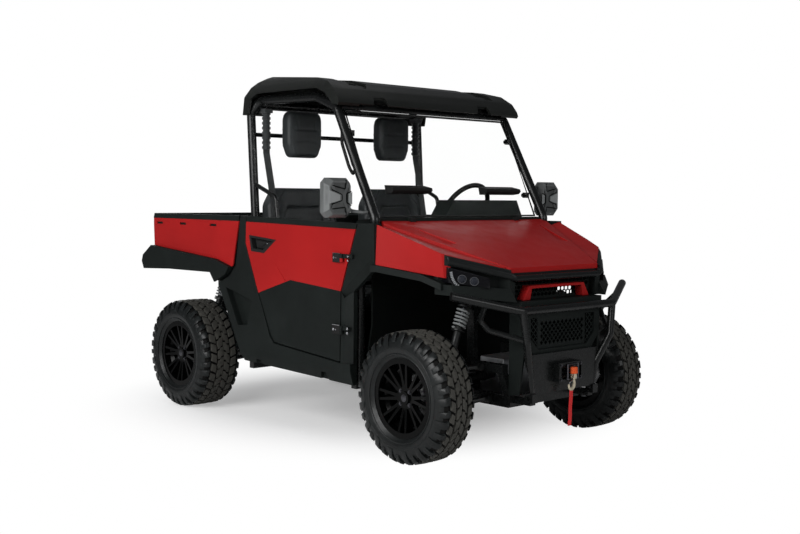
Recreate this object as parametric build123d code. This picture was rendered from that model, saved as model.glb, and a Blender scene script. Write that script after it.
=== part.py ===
from build123d import *
import math
import os

# Two-seat electric utility side-by-side with a tilting bed.
# Millimetres. The vehicle faces -Y, its left side is +X, +Z is up, and the
# origin is on the ground below the middle of its box.

os.makedirs("parts", exist_ok=True)

# ---------------------------------------------------------------- driving sizes
WHEELBASE = 2031.0
OVER_TYRES = 1582.0          # width over the outer sidewalls
TYRE_R = 330.0               # to the lugs' tips
FRONT_TYRE_W = 225.0
REAR_TYRE_W = 275.0
HALF_LENGTH = 1482.0         # origin to the front and rear ends
BODY_X = 740.0               # outer face of the body sides
PANEL_T = 45.0               # thickness of doors and side panels
PANEL_GAP = 7.0              # open joint round each moving panel
SKIN_T = 8.0                 # coloured skins laid on doors and bed
SEAT_FIT = 0.3               # clearance where one piece rests on another
NOSE = -HALF_LENGTH
TAIL = HALF_LENGTH

# wheels
BEAD_R = 178.0
FLANGE_R = 200.0
RIM_INSET = 24.0             # rim edge behind the sidewall
FLANGE_T = 6.0
BARREL_T = 7.0
HUB_R = 56.0
CAP_R = 33.0
SPOKE_PAIRS = 8
SPINDLE_R = 20.0
SPINDLE_FIT = 0.05
KINGPIN_X = 575.0
KINGPIN_R = 9.0
LOWER_ARM_Z = 250.0
UPPER_ARM_Z = 445.0
EYE_H = 24.0
EYE_R = 22.0

# frame
RAIL_X = 280.0               # outer face of the lower rails
RAIL_W = 50.0
RAIL_Z0 = 270.0
RAIL_H = 50.0
UPPER_RAIL_X = 340.0
UPPER_RAIL_W = 40.0
UPPER_RAIL_Z0 = 440.0
UPPER_RAIL_H = 45.0
TOWER_TOP = 800.0
SKID_T = 8.0
TUBE_R = 25.0                # cab frame tubes
ARM_R = 13.0                 # suspension arm tubes

# doors and sides, as (y, z) on the body side
BELT_Z = 1195.0              # top of doors and bed
RAIL_CAP_H = 30.0            # black cap along the top of doors and bed
DOOR_FRONT = ((-640, 1175), (-514, 821), (-508, 452))
DOOR_REAR = ((70, 496), (103, 531), (179, 695), (238, 816), (336, 1040), (330, BELT_Z))
SKIN_SPLIT = ((260, 748), (-81, 852), (-560, 818))   # lower edge of the door's coloured skin
DOOR_AXIS_X = 757.0
DOOR_AXIS_Y = -540.0
HINGE_Z = (620.0, 995.0)
HINGE_R = 9.0

# bed
BED_Y0 = 424.0
BED_Y1 = TAIL - 130
BED_FLOOR_Z = 872.0
BED_WALL = 34.0
BED_FLOOR_T = 24.0
BED_PIVOT_Y = BED_Y1 - 152
BED_PIVOT_Z = 800.0
BED_PIVOT_R = 15.0
GATE_T = 36.0

# cab frame joints, as (x, y, z)
A_TOP = (655, -373, 1788)
A_BASE = (664, -701, 1191)
B_TOP = (665, 392, 1790)
B_BASE = (662, 352, 1190)

FRONT_AXLE_Y = -WHEELBASE / 2
REAR_AXLE_Y = WHEELBASE / 2
FRONT_WHEEL_X = OVER_TYRES / 2 - FRONT_TYRE_W / 2
REAR_WHEEL_X = OVER_TYRES / 2 - REAR_TYRE_W / 2
AXLE_Z = TYRE_R


# ---------------------------------------------------------------- small helpers
def mirrored(shape):
    """The same piece on the other side of the vehicle."""
    return shape.mirror(Plane.YZ)


def pair(shape):
    """A left piece and its right twin in one node."""
    return Compound(children=[*shape.solids(), *mirrored(shape).solids()])


def slab_x(points, x0, x1):
    """A plate with its (y, z) outline, from x0 to x1."""
    face = make_face(Polyline([(0, y, z) for y, z in points], close=True))
    return extrude(Pos(x0, 0, 0) * face, amount=x1 - x0, dir=(1, 0, 0))


def slab_y(points, y0, y1):
    """A plate with its (x, z) outline, from y0 to y1."""
    face = make_face(Polyline([(x, 0, z) for x, z in points], close=True))
    return extrude(Pos(0, y0, 0) * face, amount=y1 - y0, dir=(0, 1, 0))


def slab_z(points, z0, z1):
    """A plate with its (x, y) outline, from z0 to z1."""
    face = make_face(Polyline([(x, y, 0) for x, y in points], close=True))
    return extrude(Pos(0, 0, z0) * face, amount=z1 - z0, dir=(0, 0, 1))


def block(x0, x1, y0, y1, z0, z1):
    """A plain box between its limits."""
    size = Box(x1 - x0, y1 - y0, z1 - z0)
    return Pos((x0 + x1) / 2, (y0 + y1) / 2, (z0 + z1) / 2) * size


def rod(start, end, radius):
    """A round bar between two points."""
    run = Vector(*end) - Vector(*start)
    return Plane(origin=start, z_dir=run) * Cylinder(
        radius, run.length, align=(Align.CENTER, Align.CENTER, Align.MIN))


def ring(centre, axis, outer, inner, height):
    """A round eye with its bore."""
    eye = Cylinder(outer, height) - Cylinder(inner, height + 2)
    return Plane(origin=centre, z_dir=axis) * eye


def tube(points, radius, bend):
    """A round tube along straight runs with bends of one radius."""
    path = FilletPolyline(*points, radius=bend) if len(points) > 2 else Line(*points)
    start = Plane(origin=path @ 0, z_dir=path % 0)
    return sweep(start * Circle(radius), path=path)


def ruled(sections):
    """A flat-sided body through outlines of as many corners each."""
    faces = [make_face(Polyline(points, close=True)) for points in sections]
    return loft(faces, ruled=True)


def polyhedron(points, faces):
    """A closed solid from named corners and its flat faces."""
    sides = [make_face(Polyline([points[key] for key in face], close=True)) for face in faces]
    return Solid(Shell(sides))


def planed(ridge_a, ridge_b, low, face_x, depth):
    """What a slanted cut takes off a side panel: nothing at the ridge, its depth at the low corner."""
    corners = [(face_x, *ridge_a), (face_x, *ridge_b), (face_x - depth, *low)]
    return extrude(make_face(Polyline(corners, close=True)), amount=60, dir=(1, 0, 0))


def save(node, shape):
    """Write one node."""
    export_step(shape, f"parts/{node}.step")


# ---------------------------------------------------------------- wheels
LUG_PITCHES = 17
LUG_TURN = 360 / LUG_PITCHES * 0.58    # degrees taken by a shoulder lug
BLOCK_TURN = 360 / LUG_PITCHES - LUG_TURN    # degrees taken by a centre block
LINER_SIDES = 16


def faceted(stations, angles, raised=()):
    """A flat-sided body turned about the X axis.

    stations are its (x, radius) outline, and angles the corners round it in degrees. Each row of
    raised is the first station of a band, the outline on it, and the sides where it stands up.
    """
    count = len(angles)

    def at(point, side):
        turn = math.radians(angles[side % count])
        return (point[0], point[1] * math.cos(turn), point[1] * math.sin(turn))

    def quad(a, b, c, d, side, other):
        return [at(a, side), at(b, side), at(c, other), at(d, other)]

    faces = []
    covered = set()
    for first, outline, sides in raised:
        base = stations[first:first + len(outline)]
        for side in sides:
            for step in range(len(outline) - 1):
                covered.add((first + step, side))
                faces.append(quad(outline[step], outline[step + 1], outline[step + 1], outline[step],
                                  side, side + 1))
                for edge in (side, side + 1):
                    faces.append(quad(base[step], base[step + 1], outline[step + 1], outline[step], edge,
                                      edge))
            for low, high in ((base[0], outline[0]), (base[-1], outline[-1])):
                faces.append(quad(low, high, high, low, side, side + 1))
    for band in range(len(stations) - 1):
        for side in range(count):
            if (band, side) not in covered:
                faces.append(quad(stations[band], stations[band + 1], stations[band + 1], stations[band],
                                  side, side + 1))
    for end in (stations[0], stations[-1]):
        faces.append([at(end, side) for side in range(count)])
    return Solid(Shell([make_face(Polyline(points, close=True)) for points in faces]))


def tyre(width):
    """A hollow tyre about the X axis, centred on the origin, standing on a shoulder lug's flat."""
    h = width / 2
    bead_x = h - RIM_INSET - FLANGE_T - SEAT_FIT
    across_lug = math.cos(math.radians(LUG_TURN / 2))
    across_block = math.cos(math.radians(BLOCK_TURN / 2))
    # x and radius of the carcass, then of the lugs, from the bead to the middle
    carcass = ((bead_x, FLANGE_R + 3), (h - 9, 258), (h - 18, 304), (h - 56, TYRE_R - 13),
               (30, TYRE_R - 12))
    lug = ((h, 266 / across_lug), (h - 9, 310 / across_lug), (h - 53, TYRE_R / across_lug))
    block_outline = ((27, TYRE_R / across_block), (-27, TYRE_R / across_block))
    stations = [*carcass, *((-x, radius) for x, radius in reversed(carcass))]
    angles = []
    for pitch in range(LUG_PITCHES):
        start = -90 - LUG_TURN / 2 + pitch * 360 / LUG_PITCHES
        angles += [start, start + LUG_TURN]
    lug_sides = range(0, 2 * LUG_PITCHES, 2)
    block_sides = range(1, 2 * LUG_PITCHES, 2)
    far_lug = [(-x, radius) for x, radius in reversed(lug)]
    body = faceted(stations, angles, ((1, lug, lug_sides), (4, block_outline, block_sides),
                                      (6, far_lug, lug_sides)))
    step = 360 / LINER_SIDES
    bead_r = (BEAD_R + SEAT_FIT) / math.cos(math.radians(step / 2))
    liner = ((bead_x + 1, bead_r), (bead_x - 16, bead_r), (h - 24, 280), (h - 58, 300))
    hollow = faceted([*liner, *((-x, radius) for x, radius in reversed(liner))],
                     [step * side for side in range(LINER_SIDES)])
    return body - hollow


def rim(width):
    """A spoked rim about the X axis, its outside facing +X."""
    edge = width / 2 - RIM_INSET
    seat = edge - FLANGE_T
    well = seat - 52
    profile = ((edge, FLANGE_R), (seat, FLANGE_R), (seat, BEAD_R), (seat - 36, BEAD_R),
               (well, BEAD_R - 18), (-well, BEAD_R - 18), (-seat + 36, BEAD_R), (-seat, BEAD_R),
               (-seat, FLANGE_R), (-edge, FLANGE_R), (-edge, BEAD_R - BARREL_T),
               (-seat + 36, BEAD_R - BARREL_T), (-well, BEAD_R - 18 - BARREL_T),
               (well, BEAD_R - 18 - BARREL_T), (seat - 36, BEAD_R - BARREL_T),
               (edge, BEAD_R - BARREL_T))
    face = make_face(Polyline([(x, 0, r) for x, r in profile], close=True))
    body = revolve(face, Axis.X, 360)
    hub_x0 = edge - 80
    hub_x1 = edge - 22
    hub = rod((hub_x0, 0, 0), (hub_x1, 0, 0), HUB_R)
    cap = rod((hub_x1 - 1, 0, 0), (hub_x1 + 9, 0, 0), CAP_R)
    spokes = []
    for index in range(SPOKE_PAIRS):
        for side in (-1, 1):
            angle = 360 / SPOKE_PAIRS * index + side * 8
            bar = ruled([
                [(hub_x1 - 30, -11, HUB_R - 8), (hub_x1, -9, HUB_R - 8),
                 (hub_x1, 9, HUB_R - 8), (hub_x1 - 30, 11, HUB_R - 8)],
                [(edge - 40, -8, BEAD_R - 4), (edge - 4, -6, BEAD_R - 4),
                 (edge - 4, 6, BEAD_R - 4), (edge - 40, 8, BEAD_R - 4)]])
            spokes.append(Rot(angle, 0, 0) * bar)
    body = body + hub + cap + spokes
    bore = rod((hub_x0 - 1, 0, 0), (hub_x1 - 6, 0, 0), SPINDLE_R + SPINDLE_FIT)
    return body - bore


def spindle_reach(width):
    """How far past the wheel's middle plane the spindle ends."""
    return width / 2 - RIM_INSET - 22 - 6 - 2


wheels = (
    # name, centre x, axle y, tyre width
    ("front", FRONT_WHEEL_X, FRONT_AXLE_Y, FRONT_TYRE_W),
    ("rear", REAR_WHEEL_X, REAR_AXLE_Y, REAR_TYRE_W),
)
for name, centre_x, axle_y, width in wheels:
    place = Pos(centre_x, axle_y, AXLE_Z)
    left_tyre = place * tyre(width)
    left_rim = place * rim(width)
    save(f"tyre_{name}_left", left_tyre)
    save(f"tyre_{name}_right", mirrored(left_tyre))
    save(f"rim_{name}_left", left_rim)
    save(f"rim_{name}_right", mirrored(left_rim))

# ---------------------------------------------------------------- knuckles
UPRIGHT_X0 = KINGPIN_X + 15
UPRIGHT_X1 = KINGPIN_X + 45
LUG_T = 18.0
ARM_PIN_Y = FRONT_AXLE_Y + 112
ARM_PIN_Z = 352.0
TIE_CLEAR = 7.0
RACK_R = 13.0
RACK_HOUSING_X = 280.0


def upright(axle_y, wheel_x, width):
    """A wheel carrier with its king pin and its spindle."""
    body = block(UPRIGHT_X0, UPRIGHT_X1, axle_y - 34, axle_y + 34, LOWER_ARM_Z + 14,
                 UPPER_ARM_Z - 14)
    pin = rod((KINGPIN_X, axle_y, LOWER_ARM_Z - 20), (KINGPIN_X, axle_y, UPPER_ARM_Z + 20),
              KINGPIN_R)
    lugs = [block(KINGPIN_X - 12, UPRIGHT_X0 + 1, axle_y - 16, axle_y + 16, z, z + LUG_T)
            for z in (LOWER_ARM_Z + 20, UPPER_ARM_Z - 20 - LUG_T)]
    nuts = [rod((KINGPIN_X, axle_y, z), (KINGPIN_X, axle_y, z + 8), KINGPIN_R + 6)
            for z in (LOWER_ARM_Z - 22, UPPER_ARM_Z + 14)]
    spindle = rod((UPRIGHT_X1 - 1, axle_y, AXLE_Z),
                  (wheel_x + spindle_reach(width), axle_y, AXLE_Z), SPINDLE_R)
    flange = rod((UPRIGHT_X1 - 1, axle_y, AXLE_Z), (UPRIGHT_X1 + 12, axle_y, AXLE_Z), 34)
    return body + pin + lugs + nuts + spindle + flange


front_upright = upright(FRONT_AXLE_Y, FRONT_WHEEL_X, FRONT_TYRE_W)
steering_arm = ruled([
    [(UPRIGHT_X0 + 2, FRONT_AXLE_Y + 20, ARM_PIN_Z - 8), (UPRIGHT_X1, FRONT_AXLE_Y + 20, ARM_PIN_Z - 8),
     (UPRIGHT_X1, FRONT_AXLE_Y + 20, ARM_PIN_Z + 8), (UPRIGHT_X0 + 2, FRONT_AXLE_Y + 20, ARM_PIN_Z + 8)],
    [(KINGPIN_X - 24, ARM_PIN_Y, ARM_PIN_Z - 8), (KINGPIN_X + 8, ARM_PIN_Y, ARM_PIN_Z - 8),
     (KINGPIN_X + 8, ARM_PIN_Y, ARM_PIN_Z + 8), (KINGPIN_X - 24, ARM_PIN_Y, ARM_PIN_Z + 8)]])
arm_boss = rod((KINGPIN_X - 8, ARM_PIN_Y, ARM_PIN_Z - 8), (KINGPIN_X - 8, ARM_PIN_Y, ARM_PIN_Z + 8), 17)
front_knuckle = front_upright + steering_arm + arm_boss
save("knuckle_left", front_knuckle)
save("knuckle_right", mirrored(front_knuckle))
rear_upright = upright(REAR_AXLE_Y, REAR_WHEEL_X, REAR_TYRE_W)

# ---------------------------------------------------------------- suspension arms
SHOCK_TOP = (378, 790)       # x, z of the upper eye
SHOCK_LOW = (486, 492)       # x, z of the lower eye
SHOCK_OFFSET_Y = 52.0
SHOCK_EYE_R = 17.0
SHOCK_PIN_R = 6.0
EYE_HALF = 16.0
EAR_T = 6.0
EAR_HALF = 14.0              # half width of the ears that hold an eye
ARM_SPREAD = 130.0
LOWER_PIVOT_X = RAIL_X + 18 + SEAT_FIT
LOWER_PIVOT_Z = RAIL_Z0 + RAIL_H / 2
UPPER_PIVOT_X = UPPER_RAIL_X + 18 + SEAT_FIT
UPPER_PIVOT_Z = UPPER_RAIL_Z0 + UPPER_RAIL_H / 2


def wishbone(axle_y, pivot_x, pivot_z, eye_z):
    """Two legs from the frame to the eye at the king pin."""
    shape = ring((KINGPIN_X, axle_y, eye_z), (0, 0, 1), EYE_R, KINGPIN_R + SPINDLE_FIT, EYE_H)
    end = (KINGPIN_X - EYE_R + 4, axle_y, eye_z)
    for side in (-1, 1):
        pivot = (pivot_x, axle_y + side * ARM_SPREAD, pivot_z)
        bush = rod((pivot_x, pivot[1] - 24, pivot_z), (pivot_x, pivot[1] + 24, pivot_z), 18)
        start = (pivot_x + 6, pivot[1], pivot_z)
        tip = (end[0], axle_y + side * 8, eye_z)
        shape = shape + bush + rod(start, tip, ARM_R)
    return shape


def shock_ears(x, y, z, z0, z1):
    """Two ears with a pin through the shock's eye, from z0 to z1."""
    near = EYE_HALF + SEAT_FIT
    ears = [block(x - EAR_HALF, x + EAR_HALF, y0, y0 + EAR_T, z0, z1) for y0 in (y - near - EAR_T,
                                                                                 y + near)]
    return [*ears, rod((x, y - near - EAR_T, z), (x, y + near + EAR_T, z), SHOCK_PIN_R)]


arms = []
for axle_y, shock_y in ((FRONT_AXLE_Y, FRONT_AXLE_Y - SHOCK_OFFSET_Y),
                        (REAR_AXLE_Y, REAR_AXLE_Y + SHOCK_OFFSET_Y)):
    arms += wishbone(axle_y, LOWER_PIVOT_X, LOWER_PIVOT_Z, LOWER_ARM_Z).solids()
    low_x, low_z = SHOCK_LOW
    seat_half = EYE_HALF + SEAT_FIT + EAR_T
    seat = block(low_x - EAR_HALF, low_x + EAR_HALF, shock_y - seat_half, shock_y + seat_half,
                 UPPER_ARM_Z + 6, low_z - SHOCK_EYE_R - 4)
    upper = wishbone(axle_y, UPPER_PIVOT_X, UPPER_PIVOT_Z, UPPER_ARM_Z) + seat
    upper = upper + shock_ears(low_x, shock_y, low_z, low_z - SHOCK_EYE_R - 5, low_z + 12)
    arms += upper.solids()
arms += rear_upright.solids()
save("suspension_arms", pair(Compound(children=arms)))

# ---------------------------------------------------------------- shock absorbers
SPRING_R = 33.0
COIL_R = 6.0
CORE_R = 26.0                # sleeve inside the coils
DAMPER_R = 20.0
NECK_R = 12.0
ROD_R = 9.0
CUP_R = SPRING_R + 5         # the spring's seats
SPRING_TURNS = 5
SPRING_FROM = 0.36           # middle of the first and last coil, as shares of the length
SPRING_TO = 0.84


def shock(y):
    """A damper with its spring, between two eyes."""
    top = Vector(SHOCK_TOP[0], y, SHOCK_TOP[1])
    low = Vector(SHOCK_LOW[0], y, SHOCK_LOW[1])
    run = top - low
    # share of the length, radius
    outline = [(0, NECK_R), (0.09, NECK_R), (0.09, DAMPER_R), (0.26, DAMPER_R), (0.26, CUP_R),
               (0.30, CUP_R),
               (0.30, CORE_R)]
    for index in range(SPRING_TURNS):
        middle = SPRING_FROM + index * (SPRING_TO - SPRING_FROM) / (SPRING_TURNS - 1)
        outline += [(middle - 0.026, CORE_R), (middle - 0.012, SPRING_R + COIL_R),
                    (middle + 0.012, SPRING_R + COIL_R), (middle + 0.026, CORE_R)]
    outline += [(0.90, CORE_R), (0.90, CUP_R), (0.94, CUP_R), (0.94, ROD_R), (1, ROD_R)]
    points = [(0, 0, 0)] + [(radius, 0, share * run.length) for share, radius in outline]
    points.append((0, 0, run.length))
    body = revolve(make_face(Polyline(points, close=True)), Axis.Z, 360)
    body = Plane(origin=low, z_dir=run) * body
    for end in (top, low):
        body = body + rod((end.X, y - EYE_HALF, end.Z), (end.X, y + EYE_HALF, end.Z), SHOCK_EYE_R)
    for end in (top, low):
        body = body - rod((end.X, y - 20, end.Z), (end.X, y + 20, end.Z), SHOCK_PIN_R + SPINDLE_FIT)
    return body


shocks = [*shock(FRONT_AXLE_Y - SHOCK_OFFSET_Y).solids(), *shock(REAR_AXLE_Y + SHOCK_OFFSET_Y).solids()]
save("shock_absorbers", pair(Compound(children=shocks)))

# ---------------------------------------------------------------- drive line
DIFF_X = 120.0
DIFF_Z = 400.0
CASE_Z0 = RAIL_Z0 + SEAT_FIT   # cases sit on the belly plate
SHAFT_R = 14.0
BOOT_R = 36.0
SHAFT_END_X = KINGPIN_X - KINGPIN_R - 11


def half_shaft(axle_y):
    """A drive shaft with a boot at each end."""
    inner = Vector(DIFF_X + SEAT_FIT, axle_y, DIFF_Z)
    outer = Vector(SHAFT_END_X, axle_y, AXLE_Z + 6)
    run = outer - inner

    def at(share):
        point = inner + run * share
        return (point.X, point.Y, point.Z)
    shaft = rod(at(0.0), at(1.0), SHAFT_R)
    boots = rod(at(0.02), at(0.12), BOOT_R) + rod(at(0.12), at(0.2), BOOT_R - 10)
    boots += rod(at(0.90), at(1.0), BOOT_R - 6) + rod(at(0.82), at(0.90), BOOT_R - 14)
    return (shaft + boots) & block(DIFF_X + SEAT_FIT, SHAFT_END_X + 8, axle_y - 99, axle_y + 99, 0, 999)


save("half_shafts", pair(Compound(children=[*half_shaft(FRONT_AXLE_Y).solids(),
                                           *half_shaft(REAR_AXLE_Y).solids()])))
front_gearbox = block(-DIFF_X, DIFF_X, FRONT_AXLE_Y - 85, FRONT_AXLE_Y + 85, CASE_Z0, DIFF_Z + 75)
rear_motor = block(-DIFF_X, DIFF_X, REAR_AXLE_Y - 190, REAR_AXLE_Y + 110, CASE_Z0, DIFF_Z + 150)
save("drive_units", Compound(children=[*front_gearbox.solids(), *rear_motor.solids()]))

# ---------------------------------------------------------------- frame
RAIL_FRONT_Y = NOSE + 192
OUTRIGGER_TOP = RAIL_Z0 + 78
SILL_X0 = BODY_X - 50
RAIL_REAR_Y = TAIL - 152
HITCH_BORE = 50.8            # receiver for a two-inch ball mount
HITCH_WALL = 6.4
HITCH_Z = 400.0
HITCH_PIN_R = 8.1
rail = block(RAIL_X - RAIL_W, RAIL_X, RAIL_FRONT_Y, RAIL_REAR_Y, RAIL_Z0, RAIL_Z0 + RAIL_H)
frame = [rail]
for y0, y1 in ((RAIL_FRONT_Y, -700), (760, RAIL_REAR_Y)):
    frame.append(block(UPPER_RAIL_X - UPPER_RAIL_W, UPPER_RAIL_X, y0, y1, UPPER_RAIL_Z0,
                       UPPER_RAIL_Z0 + UPPER_RAIL_H))
    for y in (y0, y1 - 40):
        frame.append(ruled([
            [(RAIL_X - 40, y, RAIL_Z0 + RAIL_H - 5), (RAIL_X, y, RAIL_Z0 + RAIL_H - 5),
             (RAIL_X, y + 40, RAIL_Z0 + RAIL_H - 5), (RAIL_X - 40, y + 40, RAIL_Z0 + RAIL_H - 5)],
            [(UPPER_RAIL_X - 40, y, UPPER_RAIL_Z0 + 5), (UPPER_RAIL_X, y, UPPER_RAIL_Z0 + 5),
             (UPPER_RAIL_X, y + 40, UPPER_RAIL_Z0 + 5), (UPPER_RAIL_X - 40, y + 40, UPPER_RAIL_Z0 + 5)]]))
for y in (FRONT_AXLE_Y - SHOCK_OFFSET_Y, REAR_AXLE_Y + SHOCK_OFFSET_Y):
    frame.append(block(UPPER_RAIL_X - 30, UPPER_RAIL_X, y - 24, y + 24, UPPER_RAIL_Z0 + 10, TOWER_TOP))
    top_x, top_z = SHOCK_TOP
    near = EYE_HALF + SEAT_FIT
    for y0 in (y - near - EAR_T, y + near):
        frame.append(block(UPPER_RAIL_X - 1, top_x + EAR_HALF, y0, y0 + EAR_T, top_z - 10, TOWER_TOP))
    frame.append(rod((top_x, y - near - EAR_T, top_z), (top_x, y + near + EAR_T, top_z), SHOCK_PIN_R))
left_frame = frame[0] + frame[1:]
cross_bars = [block(-RAIL_X + 5, RAIL_X - 5, y, y + RAIL_W, RAIL_Z0 + 2, RAIL_Z0 + RAIL_H - 2)
              for y in (RAIL_FRONT_Y, -720, -60, 420, RAIL_REAR_Y - RAIL_W)]
cross_bars += [block(-UPPER_RAIL_X + 5, UPPER_RAIL_X - 5, y - 18, y + 18, TOWER_TOP - 40, TOWER_TOP - 4)
               for y in (FRONT_AXLE_Y - SHOCK_OFFSET_Y, REAR_AXLE_Y + SHOCK_OFFSET_Y)]
outriggers = [block(RAIL_X - 2, SILL_X0 - SEAT_FIT, y, y + 40, RAIL_Z0 + 40, OUTRIGGER_TOP)
              for y in (-585, 330)]
receiver_y0 = RAIL_REAR_Y - RAIL_W - 40
half_out = HITCH_BORE / 2 + HITCH_WALL
receiver = block(-half_out, half_out, receiver_y0, HALF_LENGTH, HITCH_Z - half_out, HITCH_Z + half_out)
hitch_bar = block(-UPPER_RAIL_X + 5, UPPER_RAIL_X - 5, RAIL_REAR_Y - 45, RAIL_REAR_Y - 5,
                  HITCH_Z - 30, HITCH_Z + 45)
chassis = left_frame + mirrored(left_frame) + cross_bars + outriggers
chassis = chassis + [mirrored(bar) for bar in outriggers] + receiver + hitch_bar
chassis = chassis - block(-HITCH_BORE / 2, HITCH_BORE / 2, receiver_y0 + 20, HALF_LENGTH + 5,
                          HITCH_Z - HITCH_BORE / 2, HITCH_Z + HITCH_BORE / 2)
HITCH_PIN_Y = HALF_LENGTH - 60
chassis = chassis - rod((-60, HITCH_PIN_Y, HITCH_Z), (60, HITCH_PIN_Y, HITCH_Z), HITCH_PIN_R)
chassis = chassis + block(-RAIL_X, RAIL_X, RAIL_FRONT_Y + 10, RAIL_REAR_Y - 10,
                          RAIL_Z0 - SKID_T, RAIL_Z0)
# bed pivot posts and tube, and the rest under the bed's front
for side in (-1, 1):
    post_x = side * (UPPER_RAIL_X - 20)
    chassis = chassis + block(post_x - 20, post_x + 20, BED_PIVOT_Y - 20, BED_PIVOT_Y + 20,
                              UPPER_RAIL_Z0 + 10, BED_PIVOT_Z)
    chassis = chassis + block(post_x - 20, post_x + 20, 500, 540, RAIL_Z0 + 40, BED_FLOOR_Z - SEAT_FIT)
chassis = chassis + rod((-400, BED_PIVOT_Y, BED_PIVOT_Z), (400, BED_PIVOT_Y, BED_PIVOT_Z), BED_PIVOT_R)
chassis = chassis + block(-UPPER_RAIL_X, UPPER_RAIL_X, 500, 540, BED_FLOOR_Z - 40, BED_FLOOR_Z - SEAT_FIT)
chassis = chassis + block(-RAIL_X, RAIL_X, 500, 540, RAIL_Z0 + 2, RAIL_Z0 + RAIL_H - 2)
for side in (-1, 1):
    chassis = chassis + block(side * 290 - 30, side * 290 + 30, 500, 540, RAIL_Z0 + 2, RAIL_Z0 + 60)
rack_z = ARM_PIN_Z + 8 + TIE_CLEAR + 7
housing = rod((-RACK_HOUSING_X, ARM_PIN_Y, rack_z), (RACK_HOUSING_X, ARM_PIN_Y, rack_z), 21)
for side in (-1, 1):
    housing = housing + block(side * 255 - 20, side * 255 + 20, ARM_PIN_Y - 16, ARM_PIN_Y + 16,
                              RAIL_Z0 + RAIL_H - 3, rack_z)
chassis = chassis + housing
chassis = chassis - rod((-400, ARM_PIN_Y, rack_z), (400, ARM_PIN_Y, rack_z), RACK_R + SPINDLE_FIT)
save("chassis_frame", chassis)
tie_end_z = rack_z
rack = rod((-340, ARM_PIN_Y, rack_z), (340, ARM_PIN_Y, rack_z), RACK_R)
rack = rack + rod((-KINGPIN_X + 8, ARM_PIN_Y, rack_z), (KINGPIN_X - 8, ARM_PIN_Y, rack_z), 8)
for side in (-1, 1):
    x = side * (KINGPIN_X - 8)
    rack = rack + rod((x, ARM_PIN_Y, rack_z - 7), (x, ARM_PIN_Y, rack_z + 7), 15)
save("steering_rack", rack)

# ---------------------------------------------------------------- cab tub
FLOOR_Z = OUTRIGGER_TOP + SEAT_FIT
FLOOR_T = 12.0
TUB_X = 612.0
TUB_FRONT_Y = -560.0
TUB_REAR_Y = 392.0
SEAT_BOX_Z = 650.0
SEAT_BOX_Y = -70.0
BULKHEAD_Z = 1000.0
FIREWALL_Z = 1100.0
tub_outer = slab_x(((TUB_FRONT_Y - 60, FIREWALL_Z), (TUB_FRONT_Y - 60, 640), (TUB_FRONT_Y, FLOOR_Z),
                    (TUB_REAR_Y, FLOOR_Z), (TUB_REAR_Y, BULKHEAD_Z), (TUB_REAR_Y - 14, BULKHEAD_Z),
                    (TUB_REAR_Y - 14, SEAT_BOX_Z), (SEAT_BOX_Y, SEAT_BOX_Z),
                    (SEAT_BOX_Y, FLOOR_Z + FLOOR_T), (TUB_FRONT_Y + 8, FLOOR_Z + FLOOR_T),
                    (TUB_FRONT_Y - 48, 645), (TUB_FRONT_Y - 48, FIREWALL_Z)), -TUB_X, TUB_X)
seat_hollow = block(-TUB_X + 12, TUB_X - 12, SEAT_BOX_Y + 12, TUB_REAR_Y - 26, FLOOR_Z + FLOOR_T,
                    SEAT_BOX_Z - 12)
save("cab_tub", tub_outer - seat_hollow)
save("battery_pack", block(-330, 330, SEAT_BOX_Y + 40, TUB_REAR_Y - 60,
                           FLOOR_Z + FLOOR_T, FLOOR_Z + 220))

# ---------------------------------------------------------------- cab frame
HEADREST_BAR = (383, 1665)   # y, z of the bar that carries the headrests
TUBE_FOOT_Z = OUTRIGGER_TOP + SEAT_FIT
ROOF_TUBE_Z = B_TOP[2] + 60
side_hoop = tube([(655, 352, TUBE_FOOT_Z), (655, 352, 800), B_BASE, B_TOP, (640, 330, ROOF_TUBE_Z + 8),
                  (630, -180, ROOF_TUBE_Z), A_TOP, A_BASE, (650, -565, 860), (650, -565, TUBE_FOOT_Z)],
                 TUBE_R, 60)
cage = side_hoop + mirrored(side_hoop)
cross_tubes = (
    # end on the left side (x, y, z), radius
    ((650, 345, ROOF_TUBE_Z - 15), TUBE_R - 3),
    (A_TOP, TUBE_R - 3),
    ((660, *HEADREST_BAR), 12),
)
for (x, y, z), radius in cross_tubes:
    cage = cage + rod((-x, y, z), (x, y, z), radius)
HIP_X = 645.0
HIP_R = 12.0
hip_bar = tube([(664, 358, 1381), (HIP_X, 180, 1306), (HIP_X, 160, 1187), (HIP_X, 160, 1090),
                (660, 345, 1050)], HIP_R, 40)
cage = cage + hip_bar + mirrored(hip_bar)
grab = tube([(650, -400, 1740), (612, -385, 1650), (612, -460, 1470), (655, -545, 1480)], 8, 30)
cage = cage + mirrored(grab)
save("roll_cage", cage)

# ---------------------------------------------------------------- doors
SKIN_X = BODY_X - SKIN_T
door_outline = (*DOOR_FRONT, *DOOR_REAR)
skin_region = ((-700, BELT_Z - RAIL_CAP_H - 20), *reversed(SKIN_SPLIT), (420, 900),
               (420, BELT_Z - RAIL_CAP_H))
LATCH = ((282, 1074), (71, 1059), (165, 1007), (262, 1012))
LATCH_DEPTH = 24.0
door_base = slab_x(door_outline, BODY_X - PANEL_T, BODY_X)
door_base -= slab_x(skin_region, SKIN_X, BODY_X + 1)
door_skin = slab_x(skin_region, SKIN_X, BODY_X + 2) & slab_x(door_outline, SKIN_X - 1, BODY_X + 3)
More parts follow.
